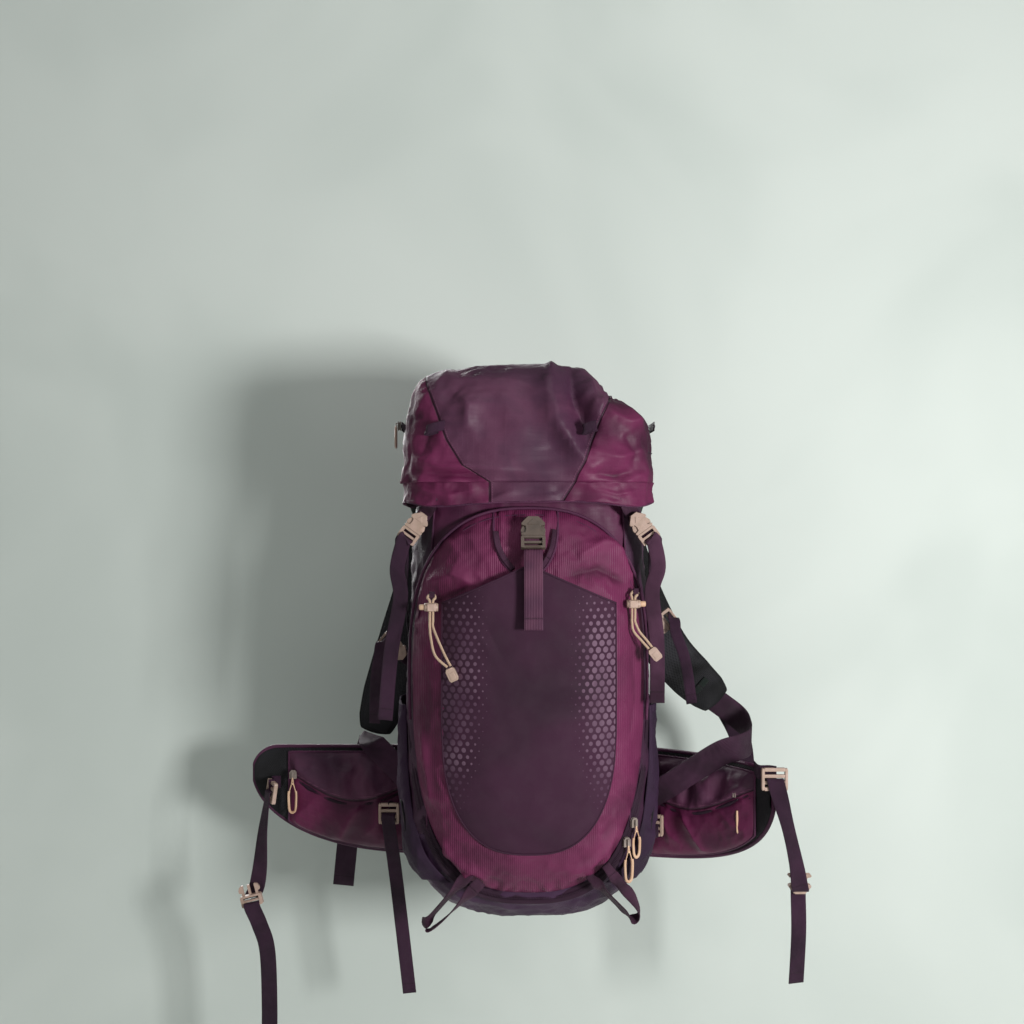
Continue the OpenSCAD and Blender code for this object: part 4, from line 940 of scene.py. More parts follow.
def atLid(side):
    return turned((side * lidBuckle["x"], lidBuckle["y"], lidBuckle["z"]), -side * lidBuckle["turn"])


def atFront():
    return turned(frontBuckle["at"], 0, -frontBuckle["turn"])


def atSide(side):
    return turned(sideBuckle[side], -side * 128)


lowSlot, highSlot, socketSlot = -11.7, -5.1, 20.8         # z of the slots in a plug and in a socket
for side, tag in ((-1, "left"), (1, "right")):
    at = atLid(side)
    hook = buckleHalf("lidReceiver_" + tag, receiverPrisms(20), at)
    wide = at((1, 0, 0)) - at((0, 0, 0))
    corner = Vector((0.8, side * 0.58, 0))
    y = lid["y"] - lid["d"] / 2 * arch(122 / 165, lid["n"])
    path = [at((0, -3.4, 20.8)), at((0, 1, 20.8)), at((0, 6.4, 21)), at((0, 6.8, 27)),
            (side * 122, y + 6.6, -15),
            (side * 120, y + 5.6, 2)]
    holder = ribbon("lidReceiverWeb_" + tag, path, [wide, wide, wide, wide, corner, corner], 18,
                    materials["web"], n=4)
    ride("lid", hook, holder, slot="tan_acetal")
    if side < 0:
        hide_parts("lid_receivers")
    plug = buckleHalf("lidPlug_" + tag, plugPrisms(20), at)
    ride("lid_buckle_" + tag, plug, slot="tan_acetal", replaces=["lid_plug_" + tag])
    foot = Vector((-182, -203, -292)) if side < 0 else Vector((163, -206, -270))
    path = [at((0, 1, lowSlot)), at((0, -5.8, lowSlot - 0.4)), at((0, -6.5, lowSlot - 7)),
            at((0, -6, -28.2)).lerp(foot, 0.12),
            at((0, -6, -16.2)).lerp(foot, 0.32) + Vector((-side * 3, -2, 0)),
            at((0, -6, -16.2)).lerp(foot, 0.62) + Vector((side * 2, 3, 0)), foot]
    x = Vector((1, 0, 0))
    tail = ribbon("lidTail_" + tag, path, [wide, wide, wide, wide.lerp(x, 0.5), x, x, (1, 0.12 * side, 0)],
                  19,
                  materials["webDark" if side < 0 else "web"], n=8)
    ride("lid_buckle_" + tag, tail, slot="webbing", replaces=["lid_tail_" + tag])

at = atFront()
frontSocket = buckleHalf("frontReceiver", receiverPrisms(25), at, "grey")
holder = ribbon("frontReceiverWeb", [at((0, -3, 20.8)), at((0, 2, 20.8)), at((0, 9, 21.2)),
                                     at((0, 13.4, 25)), at((0, 12.4, 31))],
                (1, 0, 0), 24, materials["webRib"], n=4)
ride("pack", frontSocket, holder, slot="grey_acetal", replaces=["front_receiver"])
frontPlug = buckleHalf("frontPlug", plugPrisms(25), at, "grey")
ride("front_buckle", frontPlug, slot="grey_acetal", replaces=["front_plug"])
foot = Vector((5, -284, -170.2))
path = [at((0, 2.8, -1.5)), at((0, 2.8, highSlot)), at((0, 2.6, lowSlot)), at((0, 1.6, -17)),
        at((0, -2.4, -22)),
        foot + Vector((0, 7, 70)), foot + Vector((0, 4, 38)), foot]
frontTail = ribbon("frontTail", path, (1, 0, 0.02), 23, materials["webRib"], 1.8, 8)
band = ribbon("frontTailBar", [at((0, 2.2, -0.6)), at((0, 0.4, highSlot + 1)), at((0, 0.8, -7.6)),
                               at((0, 2.4, -9.6))],
              (1, 0, 0), 22, materials["webRib"], 1.3, 4)
ride("front_buckle", frontTail, band, slot="webbing", replaces=["front_tail"])

for side, tag in ((-1, "left"), (1, "right")):
    at = atSide(side)
    socket = buckleHalf("sideReceiver_" + tag, receiverPrisms(20), at)
    ride("pack", socket, slot="tan_acetal", replaces=["side_receivers"] if side < 0 else ())
    plug = buckleHalf("sidePlug_" + tag, plugPrisms(20), at)
    wide = at((1, 0, 0)) - at((0, 0, 0))
    foot = Vector(sideBuckle[side]) + Vector((-24, 26, -110) if side < 0 else (42, 34, -116))
    start = at((0, -5.6, lowSlot))
    mid = start.lerp(foot, 0.5) + Vector((side * 4, -4, 0))
    path = [at((0, 1, lowSlot)), start, start + Vector((side, -4.5, -1)),
            start + Vector((side * 3, -7.5, -7)),
            start + Vector((side * 5, -6, -22)), mid, foot]
    flat = Vector((1, 0, 0.05))
    tail = ribbon("sideTail_" + tag, path, [-wide, -wide, (-wide).lerp(flat, 0.6), flat, flat, flat, flat],
                  15,
                  materials["webDark"], n=6)
    ride("side_buckle_" + tag, plug, tail, slot="tan_acetal", replaces=["side_plug_" + tag])
    bar = at((0, 0, socketSlot))
    z, a = bar.z - 8, bagA(bar.z - 8) + 1.4
    path = [bar + Vector((0, -3.6, 0)), bar, bar + Vector((0, 5.6, 0)), (side * (a + 3), bar.y + 14, z),
            (side * a, bar.y + 26, z), (side * a, bar.y + 44, z)]
    slant = Vector((-side * 0.6, 0, 0.8))
    web = ribbon("sideWeb_" + tag, path, [slant, slant, slant, upward, upward, upward], 19,
                 materials["webDark"], n=4)
    ride("pack", web, slot="webbing", replaces=["side_webbing"] if side < 0 else ())
print("buckles")


# creases of the bag's front: line, width and depth
bagFolds = [
    ([(-150, -40), (-128, -90), (-140, -150)], 8, 5), ([(150, -40), (132, -80), (140, -140)], 8, -5),
    ([(-120, -18), (-60, -14), (0, -18)], 5, 3), ([(30, -16), (90, -14), (140, -22)], 5, 3),
]


def bagPanel(name, t0, t1, material, nu, relief, low=None):
    low = bag["bootTop"] - 2 if low is None else low

    def at(u, v):
        return bagPt(lerp(t0, t1, u), lerp(low, bag["top"], v), 0.2)
    return surface(name, at, nu, 90, material, (320 * (t1 - t0) / 90, 428), relief, False,
                   lambda p: p - Vector((0, bag["y"], p.z)), None, 1.6)


def bandRelief(u, v, p):
    fine = 1.0 * crumple(p, 12, 6.0) * ease(-60, -20, p.z)
    return 1.8 * crumple(p, 30, 2.0) + folds(p.x, p.z, bagFolds) + fine


def sideRelief(u, v, p):
    slack = 2.5 * math.exp(-((p.y + 110) / 9) ** 2) * ripple(p, 40, 3)
    return 3.0 * crumple(p, 60, 9.0) + 1.4 * crumple(p, 22, 1.0) + slack


front = bagPanel("bagFront", 225, 315, materials["band"], 80, bandRelief)
ride("pack", front, slot="plum_nylon", replaces=["bag_front"])
sides = [bagPanel("bagSideL", 135, 225, materials["dusky"], 60, sideRelief),
         bagPanel("bagSideR", -45, 45, materials["dusky"], 60, sideRelief)]
ride("pack", *sides, slot="dusky_nylon", replaces=["bag_sides"])
backPanel = bagPanel("bagBack", 45, 135, materials["black"], 40, lambda u, v, p: 0.6 * crumple(p, 40, 2.0))
ride("pack", backPanel, slot="black_mesh", replaces=["bag_back"])
for k, t in enumerate((45, 135, 225, 315)):
    path = [bagPt(t, lerp(bag["bootTop"], bag["top"], i / 40), 1.6) for i in range(41)]
    ride("pack", tube("bagPiping_%d" % k, path, 1.5, materials["piping"]), slot="webbing")


def bagBoot():
    def at(u, v):
        if v > 0.12:
            s = math.sin((v - 0.12) / 0.88 * math.pi / 2)
            return bagPt(u * 360, lerp(bag["bottom"], bag["bootTop"],
                                       1 - math.cos((v - 0.12) / 0.88 * math.pi / 2)), 0.4)
        rim = bagPt(u * 360, bag["bottom"], 0.4)
        r = v / 0.12
        return Vector((rim.x * r, bagCy(bag["bottom"]) + (rim.y - bagCy(bag["bottom"])) * r, bag["bottom"]))

    def relief(u, v, p):
        up = ease(0.1, 0.3, v)
        lines = [([(-60, -512), (0, -522), (60, -510)], 6, 4), ([(-110, -500), (-70, -525), (-20, -535)], 7,
                                                                4),
                 ([(120, -495), (80, -520), (40, -528)], 7, -4), ([(-140, -460), (-120, -500), (-90, -530)],
                                                                  8, 4)]
        creases = folds(p.x, p.z, lines) * ease(-120, -160, p.y)
        return (2.6 * crumple(p, 34, 7.0) + 1.1 * crumple(p, 13, 2.0) + creases) * up
    return surface("bagBoot", at, 200, 60, materials["boot"], (900, 200), relief, True,
                   lambda p: p - Vector((0, bag["y"], -440)), None, 1.6)


ride("pack", bagBoot(), slot="dark_nylon", replaces=["bag_boot"])
bootSeam = [bagPt(9 * i, bag["bootTop"], 1.2) for i in range(40)]
ride("pack", tube("bootSeam", bootSeam, 1.3, materials["piping"], True), slot="webbing")
patchOutline = oval2(0, bagCy(-556), bagA(-556) * 0.78, bagB(-556) * 0.78, 40)
patchMesh = moulded("basePatch", [(patchOutline, 0, 2)],
                    materials["boot"], lambda p: Vector((p.x, p.z, -558 + p.y)), 0.6)
ride("pack", patchMesh, slot="dark_nylon", replaces=["base_patch"])


def collar():
    def at(u, v):
        z = lerp(bag["top"] - 14, bag["top"] + 50, v)
        off = 2.8 + (22 * ((z - bag["top"]) / 50) ** 1.4 if z > bag["top"] else 0)
        p = bagPt(u * 360, min(z, bag["top"]), -off)
        return Vector((p.x, p.y, z))

    def relief(u, v, p):
        gathers = 2.4 * math.sin(u * 2 * math.pi * 46 + 3 * ripple(p, 30))
        return (gathers + 1.5 * crumple(p, 14, 3)) * ease(0.1, 1, v) - 1
    return surface("collar", at, 368, 18, materials["dusky"], (900, 64), relief, True,
                   lambda p: p - Vector((0, bag["y"], p.z)), None, 1.0)


ride("pack", collar(), slot="dusky_nylon", replaces=["collar"])
print("bag")


# seams of the gathered tongue as (z, x), and the pocket's folds
tongue = [(-22, -44.7), (-60, -44), (-82, -36), (-103, -20)]
tongueRight = [(-22, 36), (-60, 36), (-82, 29), (-103, 12)]
pocketFolds = [
    ([(60, -84), (92, -66), (128, -84)], 8, 6), ([(44, -108), (88, -98), (130, -120)], 9, -6),
    ([(-128, -118), (-92, -108), (-56, -122)], 9, 6), ([(-122, -142), (-90, -128), (-60, -110)], 7, -5),
    ([(-100, -60), (-84, -84), (-92, -110)], 11, 4), ([(112, -40), (120, -80), (132, -120)], 8, 4),
    ([(-110, -430), (-92, -462), (-50, -486)], 7, 5), ([(112, -420), (88, -458), (46, -484)], 7, 5),
    ([(-132, -300), (-126, -350), (-120, -400)], 6, 4), ([(130, -200), (136, -260), (126, -320)], 6, -3),
    ([(70, -470), (84, -486), (76, -500)], 5, 4), ([(-70, -468), (-80, -488), (-66, -502)], 5, 4),
]


def pocketRelief(x, z, r):
    lift = 1.5 * folds(x, z, pocketFolds)
    lift += 2.4 * crumple((x, 0, z), 34, 5.0) + 1.0 * crumple((x, 3, z), 12, 1.0)
    hem = ease(0.9, 1.0, r)
    if z < -380:
        lift += 3.2 * hem * math.sin(x * 0.3 + 5 * ripple((x, 0, z), 30)) * ease(-380, -470, z)
    left, right = tableAt(tongue[::-1], z), tableAt(tongueRight[::-1], z)
    gather = ease(left - 2, left + 6, x) * ease(right + 2, right - 6, x) * ease(-112, -96, z)
    gathers = 2.2 * math.sin(x * 0.85 + 4 * ripple((x, 0, z), 18)) * ease(-66, -28, z)
    lift += gather * (gathers - 3 * ease(-30, -90, z))
    for seam in (tongue, tongueRight):
        if z > -104:
            lift -= 1.6 * math.exp(-((x - tableAt(seam[::-1], z)) / 2.2) ** 2)
    return lift * ease(1.0, 0.97, r)


def frontPocket():
    def at(u, v):
        return pocketPt(u * 360, (1 - v) ** 0.8 if v < 1 else 0.0)

    def relief(u, v, p):
        return pocketRelief(p.x, p.z, pocketR(p.x, p.z))
    pocketMesh = surface("frontPocket", at, 280, 90, materials["plum"], (1, 1), relief, True, forward, None,
                         1.6)
    layer = pocketMesh.data.uv_layers[0].data
    for loop in pocketMesh.data.loops:
        co = pocketMesh.data.vertices[loop.vertex_index].co / mm
        layer[loop.index].uv = (co.x, co.z)
    return pocketMesh


pocketMesh = frontPocket()
ride("pack", pocketMesh, slot="plum_nylon", replaces=["front_pocket"])


def outline(a0, a1, r, out, n=140):
    pts = []
    for i in range(n + 1):
        p = pocketPt(lerp(a0, a1, i / n), r)
        pts.append(Vector((p.x, pocketY(p.x, p.z) if r < 1 else bagFrontY(p.x, p.z), p.z))
                   + bagNormal(p.x, bagFrontY(p.x, p.z), p.z) * out)
    return pts


archPiping = tube("archPiping", outline(-8, 188, 0.995, 4.6), 2.0, materials["piping"])
archInner = tube("archStitch", outline(2, 178, 0.955, 0.9), 0.8, materials["piping"])
ride("pack", archPiping, archInner, slot="plum_nylon")


def onPocket(x, z, out):
    return Vector((x, pocketY(x, z) - out, z))


for name, pts in (("tongueL", [(-44, -26), (-44, -48), (-42, -66), (-37, -82), (-28, -96), (-18, -106)]),
                  ("tongueR", [(36, -26), (36, -48), (34, -66), (29, -82), (21, -96), (12, -104)])):
    path = smoothPath([onPocket(x, z, 1.2) for x, z in pts], 6)
    ride("pack", tube(name, path, 1.7, materials["piping"]), slot="plum_nylon")
for name, pts in (("tongueLipL", [(-41, -52), (-38, -70), (-30, -86), (-20, -98)]),
                  ("tongueLipR", [(33, -50), (30, -68), (24, -84), (16, -96)])):
    path = smoothPath([onPocket(x, z, 2.4) for x, z in pts], 6)
    ride("pack", ribbon(name, path, (1, 0.5, 0), 8, materials["web"], 1.2, 1), slot="plum_nylon")


# shallow folds of the stretch panel
stretchFolds = [([(-60, -150), (-30, -210), (-20, -300)], 14, -3.5),
                ([(-96, -190), (-60, -180), (-20, -240)], 9, 3),
                ([(60, -260), (80, -300), (60, -350)], 12, 3), ([(-80, -300), (-60, -350), (-30, -400)], 12,
                                                                2.5)]


def stretchPanel():
    def at(u, v):
        x = lerp(-1, 1, u) * stretch["w"] / 2 * 0.999
        z = lerp(stretchLo(x), stretchHi(x), v)
        return Vector((x, stretchY(x, z), z))

    def relief(u, v, p):
        rim = min(u, 1 - u, v) * 18
        low = folds(p.x, p.z, stretchFolds) * ease(-250, -130, p.z)
        return (low + 1.2 * crumple(p, 70, 4.0)) * clamp01(rim) + 0.2
    panel = surface("stretchPanel", at, 110, 150, materials["stretch"], (216, 358), relief, False, forward,
                    None, 1.2)
    layer = panel.data.uv_layers[0].data
    for loop in panel.data.loops:
        co = panel.data.vertices[loop.vertex_index].co / mm
        layer[loop.index].uv = (co.x, co.z)
    hemPath = [at(i / 80, 1) + Vector((0, -0.8, 0)) for i in range(81)]
    hem = tube("stretchHem", hemPath, 1.3, materials["stretch"])
    edge = [at(0, 1 - i / 30) for i in range(30)]
    edge += [at(i / 120, 0) for i in range(121)] + [at(1, i / 30) for i in range(1, 31)]
    border = tube("stretchBorder", [p + Vector((0, -0.3, 0)) for p in edge], 1.1, materials["stretch"])
    return [panel, hem, border]


panelParts = stretchPanel()
ride("pack", *panelParts, slot="stretch_knit", replaces=["stretch_panel"])

zipPath = [zipPt(lerp(170, 370, k / 120)) for k in range(121)]
zipNormals = [bagNormal(p.x, p.y, p.z) for p in zipPath]
zipParts = zipTape("panelZip", zipPath, zipNormals, 14)
ride("pack", *zipParts, slot="dark_nylon", replaces=["panel_zip"])
for tag, angle, length in (("upper", 324, 44), ("lower", 317, 50)):
    p = zipPt(angle)
    n = bagNormal(p.x, p.y, p.z)
    at = turned(p + n * 1.5, 0, 0, math.degrees(math.atan2(n.x, -n.y)))
    parts = [sliderBody("panelSlider_" + tag, at), cordPull("panelPull_" + tag, at, length)]
    ride("panel_slider_" + tag, *parts, slot="tan_acetal", replaces=["panel_slider_" + tag])
print("pocket")


# x of the front zip at height z, where a side pocket begins
def zipX(z):
    h = zipEdge * (pocket["belly"] - pocket["bottom"])
    return zipEdge * pocket["w"] / 2 * arch((pocket["belly"] - z) / h, pocket["n"])


sideSize = {"top": -282, "bottom": -498, "thick": 1.8, "slack": 15}


def sidePocket(side):
    top, bottom, thick = sideSize["top"], sideSize["bottom"], sideSize["thick"]
    tag = "LR"[side > 0]

    def frontAngle(z):
        half = bag["n"] / 2
        a = math.acos(min(1, (zipX(z) + 14) / bagA(z)) ** half)
        b = math.asin(max(0, (bagCy(z) - bagFrontY(zipX(z), z) - 14) / bagB(z)) ** half)
        return -math.degrees(max(a, b))

    def at(u, v):
        z = lerp(bottom, top, v)
        off = 0.9 + thick + 4 * clamp01((bag["bootTop"] - z) / 30) \
            + sideSize["slack"] * max(0, math.sin(math.pi * u)) ** 0.6 * max(0, v) ** 0.7
        p = bagPt(lerp(frontAngle(z), 38, u), z, off)
        return Vector((p.x * side, p.y, p.z))

    def relief(u, v, p):
        rim = clamp01(min(u, 1 - u) * 14)
        lift = 3.0 * crumple(p, 50, 4.0 + side) + 1.3 * crumple(p, 18, 2.0)
        lift += fold(p.y, p.z, [(-190, -470), (-150, -430), (-120, -340)], 8, 3)
        return (lift - 1.5 * ease(0.85, 1.0, v)) * rim
    body = surface("sidePocket" + tag, at, 80, 90, materials["knit"], (190, 216), relief, False,
                   lambda p: Vector((side, 0, 0)), None, 1.2)
    hem = ribbon("sideHem" + tag, [at(i / 40, 1) + Vector((side * 0.6, 0, -5)) for i in range(1, 40)],
                 (0, 0, 1), 10,
                 materials["knit"], 2.2, 1)
    # oval opening that the compression webbing goes through
    hole = [at(0.25 + 0.08 * math.cos(a), 0.34 + 0.085 * math.sin(a)) + Vector((side * 1.2, -0.8, 0))
            for a in [2 * math.pi * i / 28 for i in range(28)]]
    rim = tube("pocketHole" + tag, hole, 1.5, materials["black"], True)
    strip = ribbon("pocketStrip" + tag,
                   [at(0.18 + 0.035 * i, 0.31 + 0.014 * i) + Vector((side * 0.8, -0.5, 0))
                    for i in range(5)],
                   (0, 0, 1), 14, materials["web"], 1.2, 3)
    return [body, hem, rim, strip]


sideParts = sidePocket(-1) + sidePocket(1)
ride("pack", *sideParts, slot="stretch_knit", replaces=["side_pockets"])


# gear loops: the route of each and the direction across its webbing
leftLoop = [(-72, -223, -478), (-92, -223, -500), (-116, -212, -530), (-131, -202, -550),
            (-126, -203, -558),
            (-106, -216, -540), (-80, -224, -512), (-60, -225, -490)]
rightLoop = [(74, -223, -482), (92, -224, -500), (116, -216, -526), (130, -211, -542), (140, -212, -534),
             (130, -220, -512), (110, -226, -488), (96, -222, -470)]
leftWide = [(0.75, 0, 0.66)] * 3 + [(0.5, -0.5, 0.5), (-0.1, -1, 0),
                                    (-0.6, -0.4, -0.5)] + [(-0.75, 0, -0.66)] * 2
rightWide = [(0.75, 0, -0.66)] * 3 + [(0.5, -0.5, -0.5), (-0.1, -1, 0),
                                      (-0.6, -0.4, 0.5)] + [(-0.75, 0, 0.66)] * 2
gear = [ribbon("gearLoopL", leftLoop, leftWide, 15, materials["web"], 1.5, 6),
        ribbon("gearLoopR", rightLoop, rightWide, 15, materials["web"], 1.5, 6)]
ride("pack", *gear, slot="webbing", replaces=["gear_loops"])


# webbing that holds the lid's buckles down to the bag's sides
for side, tag in ((-1, "L"), (1, "R")):
    at = atLid(side)
    wide = at((1, 0, 0)) - at((0, 0, 0))
    path = [at((0, 0, highSlot)), at((0, 7.8, highSlot)), at((0, 8.6, highSlot - 8)), at((0, 9.4, -24.2)),
            (side * (bagA(-150) + 5), -150, -150), (side * (bagA(-206) + 1.6), -128, -206),
            (side * (bagA(-228) + 1.2), -126, -228)]
    across = [wide, wide, wide, wide, (0, side, 0), (0, side, 0), (0, side, 0)]
    run = ribbon("strapRun" + tag, path, across, 19, materials["webDark"], n=5)
    ride("pack", run, slot="webbing", replaces=["strap_runs"] if side < 0 else ())


# elastic cords: points from each toggle's middle, up to the tab and down again
leftToggle, rightToggle = Vector((-121, -239, -146)), Vector((131, -224.5, -143))
leftEnd, rightEnd = Vector((-94.5, -260.5, -226)), Vector((157.5, -225, -205))
leftUp = [(21, -21.5, -71.6), (6, -18, -58), (0, -8, -38), (-2, 0, -24), (-2, 0, -17), (-2, 0, -10),
          (-2, 0, 7), (-5, 2, 11.5),
          (-2, 7, 15)]
leftDown = [(3, 8, 14.5), (4.5, 4, 11), (2, 0, 7), (2, 0, -10), (2, 0, -17), (2, 0, -24), (8, -8, -38),
            (18, -17, -58),
            (25, -21.5, -70.2)]
rightUp = [(19, -0.5, -56), (10, -1, -46), (0, -1, -34), (-2, 0, -22), (-2, 0, -17), (-2, 0, -10),
           (-2, 0, 7), (-3, 2, 11.5),
           (1, 7.3, 15.5)]
rightDown = [(6, 8, 14), (5, 4, 11), (2, 0, 7), (2, 0, -10), (2, 0, -17), (2, 0, -22), (7, -1, -34),
             (16, -1, -45), (23, -0.5, -54)]


def pathLength(path):
    return sum((b - a).length for a, b in zip(path, path[1:]))


elastic = {"radius": 1.6, "wrap": 1.6 + 0.7 + 1.4}         # wrap is the tab's radius round the two strands


def elasticCord(name, toggle, up, down):
    # two strands that leave the webbing tab together and end in the same fitting
    path = [toggle + p for p in smoothPath(up + down, 6)]
    top = len(path) // 2
    strands = []
    for k, points in enumerate((path[top::-1], path[top:])):
        strand = tube(name + "ab"[k], points, elastic["radius"], materials["cord"], sides=12)
        strands.append((strand, points))
    return strands


def turnedRows(at, rings, n=18):
    # rings of n points round the x axis, closed at both ends
    verts = [at((x, r * math.cos(math.radians(a)), r * math.sin(math.radians(a))))
             for x, r in rings for a in range(0, 360, 360 // n)]
    faces = [[j * n + i, j * n + (i + 1) % n, (j + 1) * n + (i + 1) % n, (j + 1) * n + i]
             for j in range(len(rings) - 1) for i in range(n)]
    faces += [list(range(n))[::-1], [(len(rings) - 1) * n + i for i in range(n)]]
    return verts, faces


def cordFitting(name, place, turn):
    at = turned(place, turn)
    prisms = [([(-4.6, -9), (4.6, -9), (6, -6), (6, 5), (4, 8), (-4, 8), (-6, 5), (-6, -6)], -4.5, 4.5),
              (box2(-3.4, 3.4, -6.4, 2), -5.1, -4)]
    return moulded(name, prisms, materials["tan"], at, 1.2, 3)


for tag, toggle, end, turn, up, down in (("L", leftToggle, leftEnd, -25, leftUp, leftDown),
                                         ("R", rightToggle, rightEnd, -38, rightUp, rightDown)):
    strands = elasticCord("elasticCord" + tag, toggle, up, down)
    fitting = cordFitting("cordEnd" + tag, end, turn)
    ride("pack", *[strand for strand, path in strands], slot="elastic_cord", replaces=["elastic_cords"]
         if tag == "L" else ())
    ride("pack", fitting, slot="tan_acetal", replaces=["cord_ends"] if tag == "L" else ())
    for strand, path in strands:
        pathLength(path) * mm
        [tuple(p * mm) for p in path]
    side = -1 if tag == "L" else 1
    eye = toggle + Vector((0.5, 7.5, 14.5) if side < 0 else (3.5, 7.5, 15))
    r = elastic["wrap"]
    loop = [(eye.x, pocketY(eye.x, eye.z - 24) - 2.6, eye.z - 24)] \
        + [eye + Vector((0, r * math.cos(math.radians(a)), r * math.sin(math.radians(a))))
           for a in range(-20, 201, 40)] \
        + [eye + Vector((0, -r, -5))]
    tab = ribbon("cordTab" + tag, loop, (1, 0, 0), 7, materials["web"], 1.3, 3)
    ride("pack", tab, slot="webbing", replaces=["cord_tabs"] if side < 0 else ())

    def atToggle(p, toggle=toggle, side=side):
        return toggle + Vector((p[0] * side, p[1], p[2]))
    barrel = []
    for k in range(9):
        x = lerp(-8.5, 8.5, k / 8)
        barrel.append((x, 5.6 - 0.9 * (abs(x) / 8.5) ** 3))
    verts, faces = turnedRows(atToggle, [(-8.5, 3.4)] + barrel + [(8.5, 4.0)])
    word = "left" if side < 0 else "right"
    body = makeObject("toggle_" + word, verts, faces, materials["tan"])
    lugs = moulded("toggleLug_" + word, [(box2(-4.6, 4.6, -4.4, 4.4), -6.6, 6.6),
                                         (box2(-5.6, -4.4, -5, 5), -6, 6)], materials["tan"],
                   atToggle, 1.2)
    ride("toggle_" + word, body, lugs, slot="tan_acetal", replaces=["toggle_" + word])
    rings = [(-4, 3.4), (8.6, 3.6), (13.8, 3.6), (15.0, 3.0), (15.4, 1.6)]
    verts, faces = turnedRows(atToggle, rings)
    button = makeObject("toggleButton_" + word, verts, faces, materials["peach"])
    ride("toggle_button_" + word, button, slot="tan_acetal", replaces=["toggle_button_" + word])
print("cords")


# belt wing: two faces that meet in a round root, and the binding round them
def wingFoam(side):
    tag = "left" if side < 0 else "right"
    stations = [-wing["t"] / 2 * math.cos(math.radians(12 + 13 * k)) for k in range(6)]
    stations += [wing["reach"] * 0.994 * math.sin(math.pi / 2 * k / 50) for k in range(51)]
    last = len(stations) - 1

    def half(s):
        return math.sqrt(max(0, (wing["t"] / 2) ** 2 - s * s)) if s < 0 else wing["t"] / 2

    def face(sign):
        def at(u, v):
            s = stations[round(u * last)]
            lo, hi = wingLo(s), wingHi(s)
            round_ = arch(2 * v - 1, 3) * arch(clamp01((s - 262) / 18), 3)
            return wingPt(side, s, lerp(lo, hi, v), sign * max(0.5, half(s) * round_))
        return at
    parts = []
    for sign, name in ((1, "Front"), (-1, "Back")):
        parts.append(surface("wing" + name + "_" + tag, face(sign), last, 40, materials["mesh"], (290, 150),
                             lambda u, v, p: 0.8 * crumple(p, 40, 3.0), False, lambda p,
                             q=sign: forward * q, None, 0))
    edge = [(s, wingLo(s)) for s in stations[4:]] + [(s, wingHi(s)) for s in stations[:3:-1]]
    binding = tube("wingBinding_" + tag, [wingPt(side, s + 0.6, z, 0) for s, z in edge], 3.0,
                   materials["piping"], sides=12)
    foam = joined("wingFoam_" + tag, parts)
    return [foam, binding]


def wingPocket(side):
    tag = "left" if side < 0 else "right"
    s0, s1 = 56, wing["reach"] - (52 if side < 0 else 30)

    def zipZ(u):
        return 0.62 - 0.18 * math.sin(math.pi * clamp01(u)) + 0.06 * u

    def at(u, v):
        s = lerp(s0, s1, u)
        z = lerp(wingLo(s) + 4, wingHi(s) - 6, v)
        puff = max(0, math.sin(math.pi * u)) ** 0.6 * max(0, math.sin(math.pi * max(0, v) ** 0.8)) ** 0.6
        return wingPt(side, s, z, wing["t"] / 2 + 0.5 + 1.6 + wing["bulge"] * puff)

    def relief(u, v, p):
        rim = clamp01(min(u, 1 - u, v, 1 - v) * 14)
        d = v - zipZ(u)
        flat = (u * 170, v * 110, side)
        lift = 2.6 * crumple(flat, 36, 3.0) + 0.5 * crumple(flat, 17, 1.0)
        if d > 0.03:
            gathers = 3.4 * math.sin((u - 0.5) * 26 * (1.6 - v) + 2 * ripple((u * 60, v * 60, 0), 12))
            lift += gathers * ease(0.03, 0.16, d) * ease(1, 0.85, v)
        else:
            lift += folds(u * 170, v * 110, [([(60, 60), (80, 34), (96, 6)], 6, 5),
                                             ([(30, 56), (44, 30), (64, 14)], 7, 4)])
        lift -= 2.4 * math.exp(-(d / 0.035) ** 2)
        return lift * rim

    def zone(u, v, p):
        return (v - zipZ(u)) * 110 - 5
    body = surface("wingPocket_" + tag, at, 110, 80, materials["lid"], (170, 110), relief, False,
                   lambda p: wingPt(side, 140, 0, 10) - wingPt(side, 140, 0, 0), {"seam": zone}, 1.2)
    row = [at(u / 60, zipZ(u / 60)) for u in range(2, 59)]
    normal = []
    for u in range(2, 59):
        middle = at(u / 60, 0.5)
        normal.append((middle - wingPt(side, lerp(s0, s1, u / 60), middle.z, 0)).normalized())
    tape = zipTape("wingZip_" + tag, [p - n * 1.2 for p, n in zip(row, normal)], normal, 11)
    rim = [at(u / 40, 0) for u in range(41)] + [at(1, v / 24) for v in range(1, 25)] \
        + [at(1 - u / 40, 1) for u in range(1, 41)] + [at(0, 1 - v / 24) for v in range(1, 24)]
    binding = tube("wingPocketEdge_" + tag, [p + normal[0] * 0.3 for p in rim], 1.5, materials["piping"],
                   True)
    return [body, binding] + tape


for side, tag in ((-1, "left"), (1, "right")):
    foam = wingFoam(side)
    ride("wing_" + tag, *foam, slot="black_mesh", replaces=["wing_" + tag])
    parts = wingPocket(side)
    ride("wing_" + tag, *parts, slot="plum_nylon", replaces=["wing_pocket_" + tag])
    s = wing["reach"] - 60
    place = wingPt(side, s, -402, wing["t"] / 2 + 13)
    yaw = 0 if side < 0 else wing["yaw"] + wing["bend"] * s / wing["reach"]
    at = turned(place, 0, 0, yaw)
    parts = [sliderBody("wingSlider_" + tag, at), cordPull("wingPull_" + tag, at, 54)]
    ride("wing_slider_" + tag, *parts, slot="tan_acetal", replaces=["wing_slider_" + tag])

